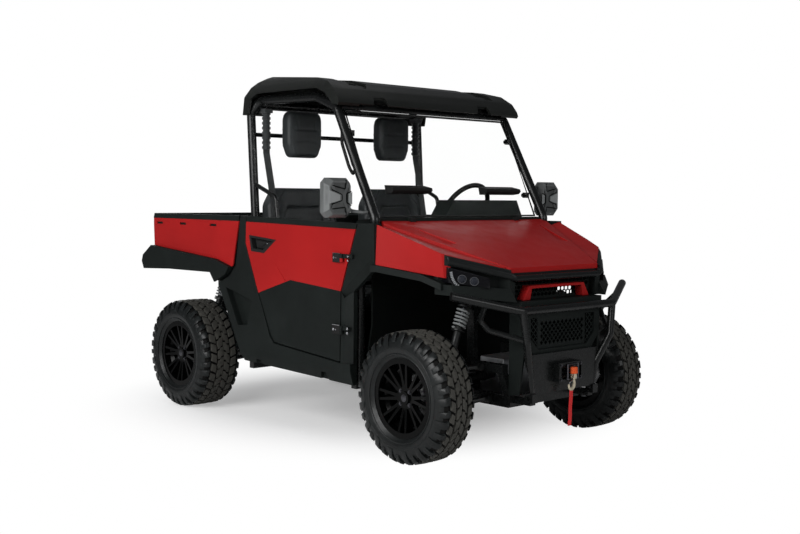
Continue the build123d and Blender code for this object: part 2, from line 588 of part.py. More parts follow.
# folds in the coloured skin and in the lower panel
door_skin -= planed((60, 944), (-600, 832), (-80, 800), BODY_X + 2, 7)
door_skin -= planed((120, 1128), (-150, 1120), (160, 1200), BODY_X + 2, 5)
door_base -= planed((236, 790), (-190, 560), (210, 440), BODY_X, 12)
latch_cut = slab_x(LATCH, BODY_X - LATCH_DEPTH, BODY_X + 5)
door_base -= latch_cut
door_skin -= latch_cut
LEAF_X0 = BODY_X + 7
LEAF_T = 8.0
PIN_R = 4.0
HINGE_H = 44.0
FOOT_IN = 3.0                # how far a hinge's foot is let into its panel
hinge_feet = (
    # height of the hinge, front end of the pillar's leaf, its foot's rear end
    (HINGE_Z[0], -588, -556),
    (HINGE_Z[1], -622, -594),
)


def hinge_leaf(z0, z1, y0, y1, foot_y0, foot_y1):
    """Half a strap hinge with its barrel."""
    leaf = block(LEAF_X0, LEAF_X0 + LEAF_T, y0, y1, z0, z1)
    foot = block(BODY_X - FOOT_IN, LEAF_X0 + LEAF_T, foot_y0, foot_y1, z0, z1)
    barrel = rod((DOOR_AXIS_X, DOOR_AXIS_Y, z0), (DOOR_AXIS_X, DOOR_AXIS_Y, z1), HINGE_R)
    return leaf + foot + barrel


door_leaves = []
pillar_leaves = []
for z, front_y, foot_rear_y in hinge_feet:
    leaf = hinge_leaf(z - HINGE_H / 2, z - 0.5, DOOR_AXIS_Y, -468, -497, -468)
    leaf -= rod((DOOR_AXIS_X, DOOR_AXIS_Y, z - HINGE_H), (DOOR_AXIS_X, DOOR_AXIS_Y, z + HINGE_H),
                PIN_R + SPINDLE_FIT)
    if z > SKIN_SPLIT[1][1]:
        leaf -= block(BODY_X - 1, BODY_X + 2, -520, -460, z - HINGE_H, z + HINGE_H)
    door_leaves.append(leaf)
    leaf = hinge_leaf(z + 0.5, z + HINGE_H / 2, front_y, DOOR_AXIS_Y, front_y, foot_rear_y)
    pillar_leaves.append(leaf + rod((DOOR_AXIS_X, DOOR_AXIS_Y, z - HINGE_H / 2),
                                    (DOOR_AXIS_X, DOOR_AXIS_Y, z + 1), PIN_R))
low_leaf, high_leaf = door_leaves
left_door = door_base + low_leaf
left_skin = door_skin + high_leaf
save("door_left", left_door)
save("door_right", mirrored(left_door))
save("door_skin_left", left_skin)
save("door_skin_right", mirrored(left_skin))

# ---------------------------------------------------------------- fixed side panels
ARCH = ((-770, 1178), (-778, 971), (-592, 823), (-592, 446))
pillar_outline = (*ARCH, (DOOR_FRONT[2][0] - PANEL_GAP, 446), (DOOR_FRONT[1][0] - PANEL_GAP, 820),
                  (DOOR_FRONT[0][0] - PANEL_GAP, 1178))
pillar = slab_x(pillar_outline, SILL_X0, BODY_X)
# slanted faces along the wheel arch
ARCH_BEVEL = 40.0
ARCH_BEVEL_DEPTH = 24.0
for (y0, z0), (y1, z1) in ((ARCH[1], ARCH[2]), (ARCH[2], ARCH[3])):
    run = math.hypot(y1 - y0, z1 - z0)
    step_y, step_z = (z0 - z1) / run * ARCH_BEVEL, (y1 - y0) / run * ARCH_BEVEL
    over_y, over_z = (y1 - y0) / run * 60, (z1 - z0) / run * 60
    pillar -= ruled([
        [(BODY_X + 1, y, z), (BODY_X + 1, y + step_y * 1.04, z + step_z * 1.04),
         (BODY_X - ARCH_BEVEL_DEPTH, y - step_y * 0.02, z - step_z * 0.02)]
        for y, z in ((y0, z0), (y1 + over_y, z1 + over_z))])
pillar = pillar + pillar_leaves
SILL_TOP_Z = 446 - SEAT_FIT
sill_outline = ((-592, SILL_TOP_Z), (-592, 332), (371, 358), (396, 403), (623, 792), (505, 842),
                (436, 912), (392, BELT_Z), (DOOR_REAR[5][0] + PANEL_GAP, BELT_Z),
                (DOOR_REAR[4][0] + PANEL_GAP, 1039), (DOOR_REAR[3][0] + PANEL_GAP, 812),
                (DOOR_REAR[2][0] + PANEL_GAP, 692), (DOOR_REAR[1][0] + 6, 525),
                (DOOR_REAR[0][0] + 3, 488), (DOOR_FRONT[2][0] - PANEL_GAP, 443),
                (DOOR_FRONT[2][0] - PANEL_GAP, SILL_TOP_Z))
RECESS = ((539, 773), (275, 712), (326, 568), (416, 559))
SILL_TURN_IN = 26.0
sill = slab_x(sill_outline, SILL_X0, BODY_X) - slab_x(RECESS, SILL_X0 + 12, BODY_X + 1)
# the lower band turns in, with two step notches
sill -= slab_y(((BODY_X + 1, 412), (BODY_X + 1, 320), (BODY_X - SILL_TURN_IN, 320)), -700, 700)
for y0 in (-400, 190):
    sill -= slab_x(((y0 + 70, 330), (y0, 330), (y0 + 14, 378), (y0 + 56, 378)), BODY_X - 34, BODY_X + 1)
save("side_sills", pair(sill))

# shoulder panels between the hood's crease, the pillar and the brow
CREASE_REAR = (664, -701, 1191)
CREASE_FRONT = (346, NOSE + 144, 971)
BROW_CORNER = (630, NOSE + 351, 1041)
PANEL_REAR_Y = -764.0


def on_crease(y, out=0.0):
    """The point of the hood's crease at one y."""
    share = (y - CREASE_REAR[1]) / (CREASE_FRONT[1] - CREASE_REAR[1])
    x = CREASE_REAR[0] + share * (CREASE_FRONT[0] - CREASE_REAR[0]) + out
    return x, CREASE_REAR[2] + share * (CREASE_FRONT[2] - CREASE_REAR[2])


def shoulder_section(y, shoulder, lower, drop):
    """The shoulder panel's section: crease, shoulder, lower edge and the inside."""
    x, z = on_crease(y, PANEL_GAP)
    valley = (x + 4, z - drop)
    points = (valley, shoulder, lower, (lower[0] - 24, lower[1]),
              (shoulder[0] - 30, shoulder[1] - 28 - drop / 2),
              (x, z - 26 - drop))
    return [(px, y, pz) for px, pz in points]


shoulder_panel = ruled([
    shoulder_section(PANEL_REAR_Y, (722, 1176), (739, 974), 12),
    shoulder_section(-1040, (652, 1078), (650, 937), 16),
    shoulder_section(CREASE_FRONT[1], (569, 963), (540, 893), 0)])
front_cut = slab_z(((900, -900), (668, -1002), (630, NOSE + 351), (340, NOSE + 144), (340, NOSE - 18),
                    (900, NOSE - 18)),
                   700, 1300)
shoulder_panel -= front_cut
(top_y, top_z), (arch_y, arch_z) = ARCH[:2]
edge_slope = (top_y - arch_y) / (top_z - arch_z)
shoulder_panel -= slab_x(((arch_y - SEAT_FIT + edge_slope * (900 - arch_z), 900),
                          (arch_y - SEAT_FIT + edge_slope * (1250 - arch_z), 1250), (-700, 1250),
                          (-700, 900)),
                         500, 800)
save("fender_panels", pair(shoulder_panel))

# arch lips join the pillars to the front fascia
LIP_H = 34.0
lip_path = ((717, -742, 968), (712, -779, 970), (640, -1030, 936), (606, NOSE + 344, 896))
lip = []
for (x0, y0, z0), (x1, y1, z1) in zip(lip_path, lip_path[1:]):
    lip.append(ruled([
        [(x0 - 22, y0, z0 - 1), (x0 + 22, y0, z0 - 1), (x0 + 22, y0, z0 - LIP_H),
         (x0 - 22, y0, z0 - LIP_H)],
        [(x1 - 22, y1, z1 - 1), (x1 + 22, y1, z1 - 1), (x1 + 22, y1, z1 - LIP_H),
         (x1 - 22, y1, z1 - LIP_H)]]))
pillar_piece = pillar + lip
save("hinge_pillars", pair(pillar_piece))

# ---------------------------------------------------------------- hood
HOOD_T = 26.0
HOOD_AXIS_Y = -700.0
HOOD_AXIS_Z = 1196.0
hood_rear_x = on_crease(HOOD_AXIS_Y - 3)[0]
hood_top_rear = on_crease(HOOD_AXIS_Y - 3)[1]
hood_rear_y = HOOD_AXIS_Y - 3
# the raised middle of the hood, between the slope behind it and the side slopes
PLATEAU_Y = -987.0
PLATEAU_X = 153.0
PLATEAU_Z = 1106.0
BASIN_X = 396.0              # outer end of the slope behind the plateau
hood_top = {
    # right half is the mirror of the left
    "rear": (hood_rear_x, hood_rear_y, hood_top_rear),
    "basin": (BASIN_X, hood_rear_y, hood_top_rear - 4),
    "middle": (PLATEAU_X, PLATEAU_Y, PLATEAU_Z),
    "front": CREASE_FRONT,
}


def hood_layer(low, high):
    """The hood's faceted sheet from one height under its top to another."""
    corners = {}
    for key, (x, y, z) in hood_top.items():
        for side, sign in (("L", 1), ("R", -1)):
            corners[key + side] = (sign * x, y, z + high)
            corners[key + side + "_"] = (sign * x, y, z + low)
    top = [("rearL", "basinL", "middleL"), ("rearL", "middleL", "frontL"),
           ("rearR", "middleR", "basinR"), ("rearR", "frontR", "middleR"),
           ("basinL", "basinR", "middleR", "middleL"), ("middleL", "middleR", "frontR", "frontL")]
    rim = ["rearL", "basinL", "basinR", "rearR", "frontR", "frontL"]
    faces = top + [tuple(key + "_" for key in face) for face in top]
    faces += [(first, second, second + "_", first + "_") for first, second in zip(rim, rim[1:] + rim[:1])]
    return polyhedron(corners, faces)


hood = hood_layer(-HOOD_T, 0)
# narrow hollows beside the plateau
HOLLOW = ((505, -800), (470, -1040), (400, -1022))
HOLLOW_DEPTH = 9.0
for side in (-1, 1):
    hollow = slab_z([(side * x, y) for x, y in HOLLOW], 900, 1300)
    hood -= hollow & hood_layer(-HOLLOW_DEPTH, 60)
hood_room = ruled([
    [(side * (x + PANEL_GAP), y, z) for side, z in
     ((-1, top + PANEL_GAP), (1, top + PANEL_GAP), (1, top - HOOD_T - PANEL_GAP),
      (-1, top - HOOD_T - PANEL_GAP))]
    for x, y, top in ((hood_rear_x, HOOD_AXIS_Y - 3, hood_top_rear),
                      (CREASE_FRONT[0], CREASE_FRONT[1], CREASE_FRONT[2]))])
for side in (-1, 1):
    hood -= slab_z([(side * x, y) for x, y in ((628, -690), (628, -732), (700, -760), (700, -690))],
                   1000, 1300)
HOOD_PIN_R = 4.0
HOOD_RING_R = 8.0
HOOD_RING_X = (396.0, 424.0)
HOOD_LUG_T = 8.0
HOOD_LUG_GAP = 2.0
ring_x0, ring_x1 = HOOD_RING_X
hood_lugs = [(ring_x0 - HOOD_LUG_GAP - HOOD_LUG_T, ring_x0 - HOOD_LUG_GAP),
             (ring_x1 + HOOD_LUG_GAP, ring_x1 + HOOD_LUG_GAP + HOOD_LUG_T)]
for lug_x0, lug_x1 in hood_lugs:
    notch = block(lug_x0 - 2, lug_x1 + 2, HOOD_AXIS_Y - 18, HOOD_AXIS_Y + 5, HOOD_AXIS_Z - 40,
                  HOOD_AXIS_Z + 5)
    hood -= notch
    hood -= mirrored(notch)
for side in (-1, 1):
    x0, x1 = sorted((side * ring_x0, side * ring_x1))
    hood = hood + block(x0, x1, HOOD_AXIS_Y - 14, HOOD_AXIS_Y, HOOD_AXIS_Z - 16, HOOD_AXIS_Z + 3)
    hood = hood + rod((x0, HOOD_AXIS_Y, HOOD_AXIS_Z), (x1, HOOD_AXIS_Y, HOOD_AXIS_Z), HOOD_RING_R)
hood -= rod((-ring_x1 - 5, HOOD_AXIS_Y, HOOD_AXIS_Z), (ring_x1 + 5, HOOD_AXIS_Y, HOOD_AXIS_Z),
            HOOD_PIN_R + SPINDLE_FIT)
save("hood", hood)

# ---------------------------------------------------------------- front fascia
GRILLE_X = 318.0
BROW_X = CREASE_FRONT[0] + PANEL_GAP
LOW_GRILLE_X = 252.0
LOW_GRILLE_Z = (560.0, 722.0)
LOW_GRILLE_Y = NOSE + 100
BROW_TOP = CREASE_FRONT[2] - HOOD_T - PANEL_GAP
MESH_T = 6.0
fascia_sides = (
    # brow, lamp back, cheek: (y, z) corners at the inner end, then at the outer end
    (((NOSE + 132, BROW_TOP + 24), (NOSE + 182, BROW_TOP + 24), (NOSE + 182, 926), (NOSE + 132, 926)),
     ((NOSE + 332, 1034), (NOSE + 382, 1034), (NOSE + 382, 984), (NOSE + 332, 984))),
    (((NOSE + 212, 960), (NOSE + 238, 960), (NOSE + 238, 850), (NOSE + 212, 850)),
     ((NOSE + 382, 1020), (NOSE + 406, 1020), (NOSE + 406, 880), (NOSE + 382, 880))),
    (((NOSE + 134, 868), (NOSE + 232, 868), (NOSE + 232, 806), (NOSE + 92, 806)),
     ((NOSE + 292, 890), (NOSE + 402, 890), (NOSE + 402, 838), (NOSE + 267, 838))),
)
fascia = []
for inner, outer in fascia_sides:
    fascia.append(ruled([[(BROW_X, y, z) for y, z in inner], [(612, y, z) for y, z in outer]]))
left_side = fascia[0] + fascia[1:]
column = slab_z(((GRILLE_X, NOSE + 137), (BROW_X + 6, NOSE + 137), (BROW_X + 6, NOSE + 227),
                 (GRILLE_X, NOSE + 227)),
                806, BROW_TOP)
left_side = left_side + column
LOW_OUT_X = LOW_GRILLE_X + 34
LOW_CORNER = 60.0
low_outline = ((-LOW_OUT_X, 745), (LOW_OUT_X, 745), (LOW_OUT_X, LOW_GRILLE_Z[0] + LOW_CORNER - 20),
               (LOW_OUT_X - LOW_CORNER, LOW_GRILLE_Z[0] - 28), (-LOW_OUT_X + LOW_CORNER,
                                                                LOW_GRILLE_Z[0] - 28),
               (-LOW_OUT_X, LOW_GRILLE_Z[0] + LOW_CORNER - 20))
low_window = ((-LOW_GRILLE_X, LOW_GRILLE_Z[1]), (LOW_GRILLE_X, LOW_GRILLE_Z[1]),
              (LOW_GRILLE_X, LOW_GRILLE_Z[0] + LOW_CORNER), (LOW_GRILLE_X - LOW_CORNER, LOW_GRILLE_Z[0]),
              (-LOW_GRILLE_X + LOW_CORNER, LOW_GRILLE_Z[0]),
              (-LOW_GRILLE_X, LOW_GRILLE_Z[0] + LOW_CORNER))
low_ring = slab_y(low_outline, LOW_GRILLE_Y - 12, LOW_GRILLE_Y + 14)
low_ring -= slab_y(low_window, LOW_GRILLE_Y - 13, LOW_GRILLE_Y + 15)
upper_sill = block(-GRILLE_X - 1, GRILLE_X + 1, NOSE + 92, NOSE + 220, 780, 806)
shelf = block(-LOW_OUT_X, LOW_OUT_X, LOW_GRILLE_Y - 12, NOSE + 220, 744, 784)
brow_bar = block(-GRILLE_X - 1, GRILLE_X + 1, NOSE + 142, NOSE + 192, 926, BROW_TOP)
cheek = slab_x(((NOSE + 88, 745), (NOSE + 88, 560), (NOSE + 122, 340), (NOSE + 188, 330),
                (NOSE + 188, 745)), 286, 298)
front_fascia = left_side + mirrored(left_side) + upper_sill + shelf + brow_bar + low_ring
front_fascia = front_fascia + cheek + mirrored(cheek) + block(-298, 298, NOSE + 170, NOSE + 188, 640, 745)
both_shoulders = shoulder_panel + mirrored(shoulder_panel)
both_pillars = pillar_piece + mirrored(pillar_piece)
front_fascia = front_fascia - both_shoulders - both_pillars - hood_room
save("front_fascia", front_fascia)


def lattice(outline, y, pitch_x, pitch_z, web, straight=0):
    """A plate with staggered holes: diamonds, or hexagons whose upright sides are twice straight."""
    sheet = make_face(Polyline([(x, 0, z) for x, z in outline], close=True))
    low_x, high_x = min(x for x, z in outline), max(x for x, z in outline)
    low_z, high_z = min(z for x, z in outline), max(z for x, z in outline)
    half_w, half_h = pitch_x / 2 - web, pitch_z / 2 - web * pitch_z / pitch_x
    if straight:
        half_w, half_h = pitch_x / 2 - web / 2, pitch_z / 2 - web - straight
    holes = []
    rows = int((high_z - low_z) / (pitch_z / 2))
    for row in range(1, rows):
        z = low_z + row * pitch_z / 2
        shift = (row % 2) * pitch_x / 2
        columns = int((high_x - low_x) / pitch_x)
        for column_index in range(columns + 1):
            x = low_x + shift + column_index * pitch_x
            corners = [(x - half_w, z), (x, z + half_h), (x + half_w, z), (x, z - half_h)]
            if straight:
                corners = [(x - half_w, z - straight), (x - half_w, z + straight), (x, z + half_h),
                           (x + half_w, z + straight), (x + half_w, z - straight), (x, z - half_h)]
            if x - half_w > low_x + 4 and x + half_w < high_x - 4:
                if z - half_h > low_z + 4 and z + half_h < high_z - 4:
                    holes.append(make_face(Polyline([(cx, 0, cz) for cx, cz in corners], close=True)))
    sheet = sheet - holes
    return extrude(Pos(0, y, 0) * sheet, amount=MESH_T, dir=(0, 1, 0))


upper_mesh = lattice(((-GRILLE_X + 0.5, 806.5), (GRILLE_X - 0.5, 806.5), (GRILLE_X - 0.5, 925.5),
                      (-GRILLE_X + 0.5, 925.5)), NOSE + 178, 30, 42, 4, 6)
lower_mesh = lattice(((-LOW_GRILLE_X + LOW_CORNER + 4, LOW_GRILLE_Z[0] + 0.5),
                      (LOW_GRILLE_X - LOW_CORNER - 4, LOW_GRILLE_Z[0] + 0.5),
                      (LOW_GRILLE_X - LOW_CORNER - 4, LOW_GRILLE_Z[1] - 0.5),
                      (-LOW_GRILLE_X + LOW_CORNER + 4, LOW_GRILLE_Z[1] - 0.5)), NOSE + 98, 32, 32, 3)
for side in (-1, 1):
    edge = side * (LOW_GRILLE_X - 0.5)
    inner = side * (LOW_GRILLE_X - LOW_CORNER - 6)
    low_z = LOW_GRILLE_Z[0]
    wing = slab_y(((inner, low_z + 0.5), (inner, LOW_GRILLE_Z[1] - 0.5), (edge, LOW_GRILLE_Z[1] - 0.5),
                   (edge, low_z + LOW_CORNER + 0.8), (side * (LOW_GRILLE_X - LOW_CORNER - 0.8),
                                                      low_z + 0.5)),
                  NOSE + 98, NOSE + 98 + MESH_T)
    lower_mesh = lower_mesh + wing
save("grille_mesh", Compound(children=[*upper_mesh.solids(), *lower_mesh.solids()]))

BEZEL_TOP_X = 205.0
BEZEL_LOW_X = 262.0
BEZEL_Z = (806.5, 878.0)
bezel_outer = ((-BEZEL_LOW_X, BEZEL_Z[0]), (-BEZEL_TOP_X - 12, BEZEL_Z[1]), (BEZEL_TOP_X + 12, BEZEL_Z[1]),
               (BEZEL_LOW_X, BEZEL_Z[0]))
bezel_inner = ((-BEZEL_LOW_X + 52, BEZEL_Z[0] - 1), (-BEZEL_TOP_X + 8, BEZEL_Z[1] - 14),
               (BEZEL_TOP_X - 8, BEZEL_Z[1] - 14), (BEZEL_LOW_X - 52, BEZEL_Z[0] - 1))
bezel = slab_y(bezel_outer, NOSE + 130, NOSE + 178 - SEAT_FIT) - slab_y(bezel_inner, NOSE + 129, NOSE + 179)
save("grille_bezel", bezel)

headlamp = ruled([
    [(450, NOSE + 182, 874), (450, NOSE + 232, 874), (450, NOSE + 232, 920), (450, NOSE + 182, 920)],
    [(608, NOSE + 310, 900), (596, NOSE + 370, 900), (596, NOSE + 370, 976), (608, NOSE + 310, 976)]])
headlamp = headlamp - front_fascia - shoulder_panel - pillar_piece
save("headlamps", pair(headlamp))

# ---------------------------------------------------------------- front bumper
BUMPER_R = 21.0
TOP_CORNER = (361, NOSE + 52, 766)
ARM_END = (679, NOSE + 223, 845)
top_tube = tube([ARM_END, TOP_CORNER, (-TOP_CORNER[0], *TOP_CORNER[1:]), (-ARM_END[0], *ARM_END[1:])],
                BUMPER_R, 70)
POST = ((355, NOSE + 50, 760), (332, NOSE + 42, 605), (262, NOSE + 82, 455), (240, NOSE + 92, 332))
post = tube(POST, BUMPER_R - 2, 60)
side_loop = tube([(332, NOSE + 50, 618), (455, NOSE + 182, 668), (478, NOSE + 220, 715),
                  (520, NOSE + 147, 800)], 14, 24)
PLATE_T = 6.0
FAIRLEAD_T = 40.0
STOPPER_R = 20.0
STOPPER_OUT = 12.0           # stopper's middle ahead of the fairlead
WINCH_PLATE_Y = -(HALF_LENGTH - STOPPER_R - STOPPER_OUT - FAIRLEAD_T - PLATE_T - SEAT_FIT)
plate = slab_y(((-252, 470), (-236, 340), (236, 340), (252, 470), (262, 540), (-262, 540)),
               WINCH_PLATE_Y - PLATE_T, WINCH_PLATE_Y)
plate -= block(-70, 70, WINCH_PLATE_Y - 7, WINCH_PLATE_Y + 1, 405, 470)
tow_loop = block(222, 262, NOSE + 62, NOSE + 112, 300, 345) - rod((200, NOSE + 86, 322),
                                                                  (280, NOSE + 86, 322), 11)
stay = block(210, 250, NOSE + 86, RAIL_FRONT_Y - SEAT_FIT, RAIL_Z0 + 14, RAIL_Z0 + 44)
bumper_side = post + side_loop + tow_loop + stay
bumper = top_tube + bumper_side + mirrored(bumper_side) + plate
bumper -= block(-300, 300, WINCH_PLATE_Y, NOSE + 184, 334, 600)
cheek_clear = slab_x(((NOSE + 86.5, 746), (NOSE + 86.5, 560), (NOSE + 120.5, 338), (NOSE + 190, 328),
                      (NOSE + 190, 746)), 285, 299)
bumper = bumper - cheek_clear - mirrored(cheek_clear)
save("front_bumper", bumper)

# ---------------------------------------------------------------- winch
WINCH_Z = 438.0
DRUM_Y = WINCH_PLATE_Y + 62
winch = rod((-60, DRUM_Y, WINCH_Z), (60, DRUM_Y, WINCH_Z), 32)
for x0, x1, radius in ((-150, -60, 46), (60, 130, 46), (-60, -52, 48), (52, 60, 48)):
    winch = winch + rod((x0, DRUM_Y, WINCH_Z), (x1, DRUM_Y, WINCH_Z), radius)
for side in (-1, 1):
    winch = winch + block(side * 90 - 30, side * 90 + 30, WINCH_PLATE_Y + SEAT_FIT, DRUM_Y, 400, 476)
FAIRLEAD_X = 92.0
FAIRLEAD_Z = (392.0, 488.0)
fair_y1 = WINCH_PLATE_Y - PLATE_T - SEAT_FIT
fair_y0 = fair_y1 - FAIRLEAD_T
fairlead = block(-FAIRLEAD_X, FAIRLEAD_X, fair_y0, fair_y1, *FAIRLEAD_Z)
fairlead -= block(-FAIRLEAD_X + 10, FAIRLEAD_X - 10, fair_y0 - 1, fair_y1 + 1,
                  FAIRLEAD_Z[0] + 12, FAIRLEAD_Z[1] - 12)
roller_y = (fair_y0 + fair_y1) / 2
for side in (-1, 1):
    fairlead = fairlead + rod((side * 66, roller_y, FAIRLEAD_Z[0] + 5),
                              (side * 66, roller_y, FAIRLEAD_Z[1] - 5), 11)
for z in (FAIRLEAD_Z[0] + 22, FAIRLEAD_Z[1] - 22):
    fairlead = fairlead + rod((-60, roller_y, z), (60, roller_y, z), 9)
HOOK_X = 6.0
LINE_Z = 447.0
LINE_R = 4.0
STOPPER_Y = fair_y0 - STOPPER_OUT
line_end_y = STOPPER_Y + STOPPER_R + SEAT_FIT
winch = winch + rod((HOOK_X, DRUM_Y, LINE_Z), (HOOK_X, line_end_y, LINE_Z), LINE_R)
save("winch", Compound(children=[*winch.solids(), *fairlead.solids()]))

HOOK_Y = fair_y0 - 10
hook = Pos(HOOK_X, STOPPER_Y, LINE_Z) * Cylinder(STOPPER_R, 34)
hook = hook + rod((HOOK_X, HOOK_Y - 2, 432), (HOOK_X, HOOK_Y - 2, 404), 9)
hook_curve = tube([(HOOK_X, HOOK_Y - 2, 408), (HOOK_X + 4, HOOK_Y - 2, 380), (HOOK_X - 20, HOOK_Y - 2, 352),
                   (HOOK_X - 36, HOOK_Y - 2, 378)], 8, 14)
hook = hook + hook_curve
save("winch_hook", hook)

# the pull strap hangs from the bowl of the hook
STRAP_W = 25.0
STRAP_T = 3.0
STRAP_Y = HOOK_Y - 2
STRAP_ROUTE = ((HOOK_X - 18, STRAP_Y, 353.4), (HOOK_X - 18, STRAP_Y - 1, 304),
               (HOOK_X - 22, STRAP_Y + 2, 256),
               (HOOK_X - 19, STRAP_Y + 1, 210), (HOOK_X - 24, STRAP_Y + 3, 166))


def tangent_radius(before, corner, after):
    """The largest arc that both runs at a corner allow."""
    into, out = Vector(*corner) - Vector(*before), Vector(*after) - Vector(*corner)
    turn = math.radians(into.get_angle(out))
    return 0.45 * min(into.length, out.length) / math.tan(turn / 2)


strap_radii = [tangent_radius(*STRAP_ROUTE[i:i + 3]) for i in range(len(STRAP_ROUTE) - 2)]
print("pull strap radii", [round(radius) for radius in strap_radii])
strap_path = FilletPolyline(*STRAP_ROUTE, radius=strap_radii)
strap_start = Plane(origin=strap_path @ 0, x_dir=(1, 0, 0), z_dir=strap_path % 0)
pull_strap = sweep(strap_start * Rectangle(STRAP_W, STRAP_T), path=strap_path)
save("pull_strap", pull_strap)
print("pull strap", round(strap_path.length), "mm, volume ratio",
      round(pull_strap.volume / (strap_path.length * STRAP_W * STRAP_T), 3))

# ---------------------------------------------------------------- roof
ROOF_T = 12.0
ROOF_HALF = 700.0
CROWN_X = 555.0              # side bolsters start here
CENTRE_X = 415.0             # half width of the raised middle panel
GROOVE_DEPTH = 16.0
roof_side = ((415, 1775), (404, 1880), (352, 1958), (305, 1985), (269, 1992), (-207, 1953), (-330, 1925),
             (-400, 1880), (-440, 1830), (-450, 1805), (-436, 1786))
roof_cross = ((-708, 1770), (-704, 1872), (-680, 1930), (-640, 1966), (-600, 1992), (600, 1992),
              (640, 1966),
              (680, 1930), (704, 1872), (708, 1770))


def inset(points, centre, amount):
    """An outline drawn in towards a centre by an amount on each axis."""
    return [(u + math.copysign(amount, centre[0] - u), v + math.copysign(amount, centre[1] - v))
            for u, v in points]


roof_outer = slab_x(roof_side, -720, 720) & slab_y(roof_cross, -500, 500)
roof_core = slab_x(inset(roof_side, (0, 1700), ROOF_T), -720, 720)
roof_core &= slab_y(inset(roof_cross, (0, 1700), ROOF_T), -500, 500)
roof = roof_outer - roof_core
# lengthwise grooves between the middle panel and the bolsters, and two ribs in the middle
groove_floor = slab_x([(y, z - GROOVE_DEPTH) for y, z in roof_side], -720, 720)
for side in (-1, 1):
    groove = slab_z(((side * CENTRE_X, 500), (side * CROWN_X, 500), (side * CROWN_X, -380),
                     (side * (CENTRE_X + 40), -380), (side * CENTRE_X, -330)), 1840, 2050)
    liner = slab_z(((side * (CENTRE_X - 10), 500), (side * (CROWN_X + 10), 500),
                    (side * (CROWN_X + 10), -390),
                    (side * (CENTRE_X - 10), -390)), 1840, 2050)
    lining = slab_x([(y, z - GROOVE_DEPTH - ROOF_T) for y, z in roof_side], -720, 720)
    roof = roof + ((groove_floor & roof_outer & liner) - lining)
    roof = roof - (groove - groove_floor)
    for x in (470, 510):
        rib = block(side * x - 7, side * x + 7, -300, 330, 1850, 2050)
        rib &= slab_x([(y, z - GROOVE_DEPTH + 7) for y, z in roof_side], -720, 720)
        roof = roof + (rib - lining)
# door arches under the bolsters
arch_side = ((-470, 1770), (-470, 1786), (-395, 1800), (-330, 1862), (-240, 1893), (290, 1893), (345, 1860),
             (366, 1770))
roof -= slab_x(arch_side, -720, -560)
roof -= slab_x(arch_side, 560, 720)
roof -= block(-560, 560, -500, -300, 1700, 1800)
roof -= block(-560, 560, 300, 500, 1700, 1813)
# openings in the front edge
NOTCH = ((345, 1795), (366, 1846), (447, 1846), (467, 1795))
for side in (-1, 1):
    roof -= slab_y([(side * x, z) for x, z in NOTCH], -500, -415)
roof = roof - cage
save("roof", roof)

# ---------------------------------------------------------------- dash, windshield, steering
DASH_X = 612.0
DASH_FRONT_Y = -693.0
GLASS_T = 5.0
dash_side = ((DASH_FRONT_Y, 1150), (DASH_FRONT_Y, 1203), (-655, 1203), (-500, 1190), (-450, 1150),
             (-450, 1090),
             (-510, 960), (TUB_FRONT_Y - 48 + SEAT_FIT, 940), (TUB_FRONT_Y - 48 + SEAT_FIT,
                                                               FIREWALL_Z + SEAT_FIT),
             (-650, FIREWALL_Z + SEAT_FIT))
dash = slab_x(dash_side, -DASH_X, DASH_X)
dash = dash + block(-634, 634, DASH_FRONT_Y, -655, 1178, 1203)
hood_pins = [rod((hood_lugs[0][0], HOOD_AXIS_Y, HOOD_AXIS_Z), (hood_lugs[1][1], HOOD_AXIS_Y, HOOD_AXIS_Z),
                 HOOD_PIN_R)]
hood_pins += [block(x0, x1, HOOD_AXIS_Y - 7, DASH_FRONT_Y + 2, HOOD_AXIS_Z - 10, HOOD_AXIS_Z + 7)
              for x0, x1 in hood_lugs]
for side in (-1, 1):
    x0, x1 = sorted((side * (ring_x0 - HOOD_LUG_GAP), side * (ring_x1 + HOOD_LUG_GAP)))
    dash = dash - block(x0, x1, DASH_FRONT_Y - 1, DASH_FRONT_Y + 9, HOOD_AXIS_Z - 12, HOOD_AXIS_Z + 9)
dash = dash + hood_pins + [mirrored(pin) for pin in hood_pins]
dash = dash + slab_y(((-60, 1150), (-60, 1190), (15, 1297), (545, 1297), (600, 1190), (600, 1150)), -590,
                     -470)
WHEEL_CENTRE = Vector(360, -345, 1235)
WHEEL_AXIS = Vector(0, math.cos(math.radians(30)), math.sin(math.radians(30)))
WHEEL_R = 172.0
GRIP_R = 13.0
COLUMN_FIT_R = 11.0


def along_column(distance):
    """A point on the steering column, from the wheel's centre forward."""
    point = WHEEL_CENTRE - WHEEL_AXIS * distance
    return (point.X, point.Y, point.Z)


column_tube = rod(along_column(48), along_column(240), 30)
dash = dash + column_tube - rod(along_column(40), along_column(142), COLUMN_FIT_R + SPINDLE_FIT)
save("dashboard", dash)
wheel_plane = Plane(origin=along_column(0), x_dir=(1, 0, 0), z_dir=WHEEL_AXIS)
steering = wheel_plane * Torus(WHEEL_R, GRIP_R)
steering = steering + rod(along_column(-8), along_column(26), 44) + rod(along_column(20), along_column(140),
                                                                         COLUMN_FIT_R)
for angle in (0, 90, 180):
    spoke = Rot(0, 0, angle) * Pos(WHEEL_R / 2, 0, -6) * Box(WHEEL_R, 34, 10)
    steering = steering + wheel_plane * spoke
save("steering_wheel", steering)

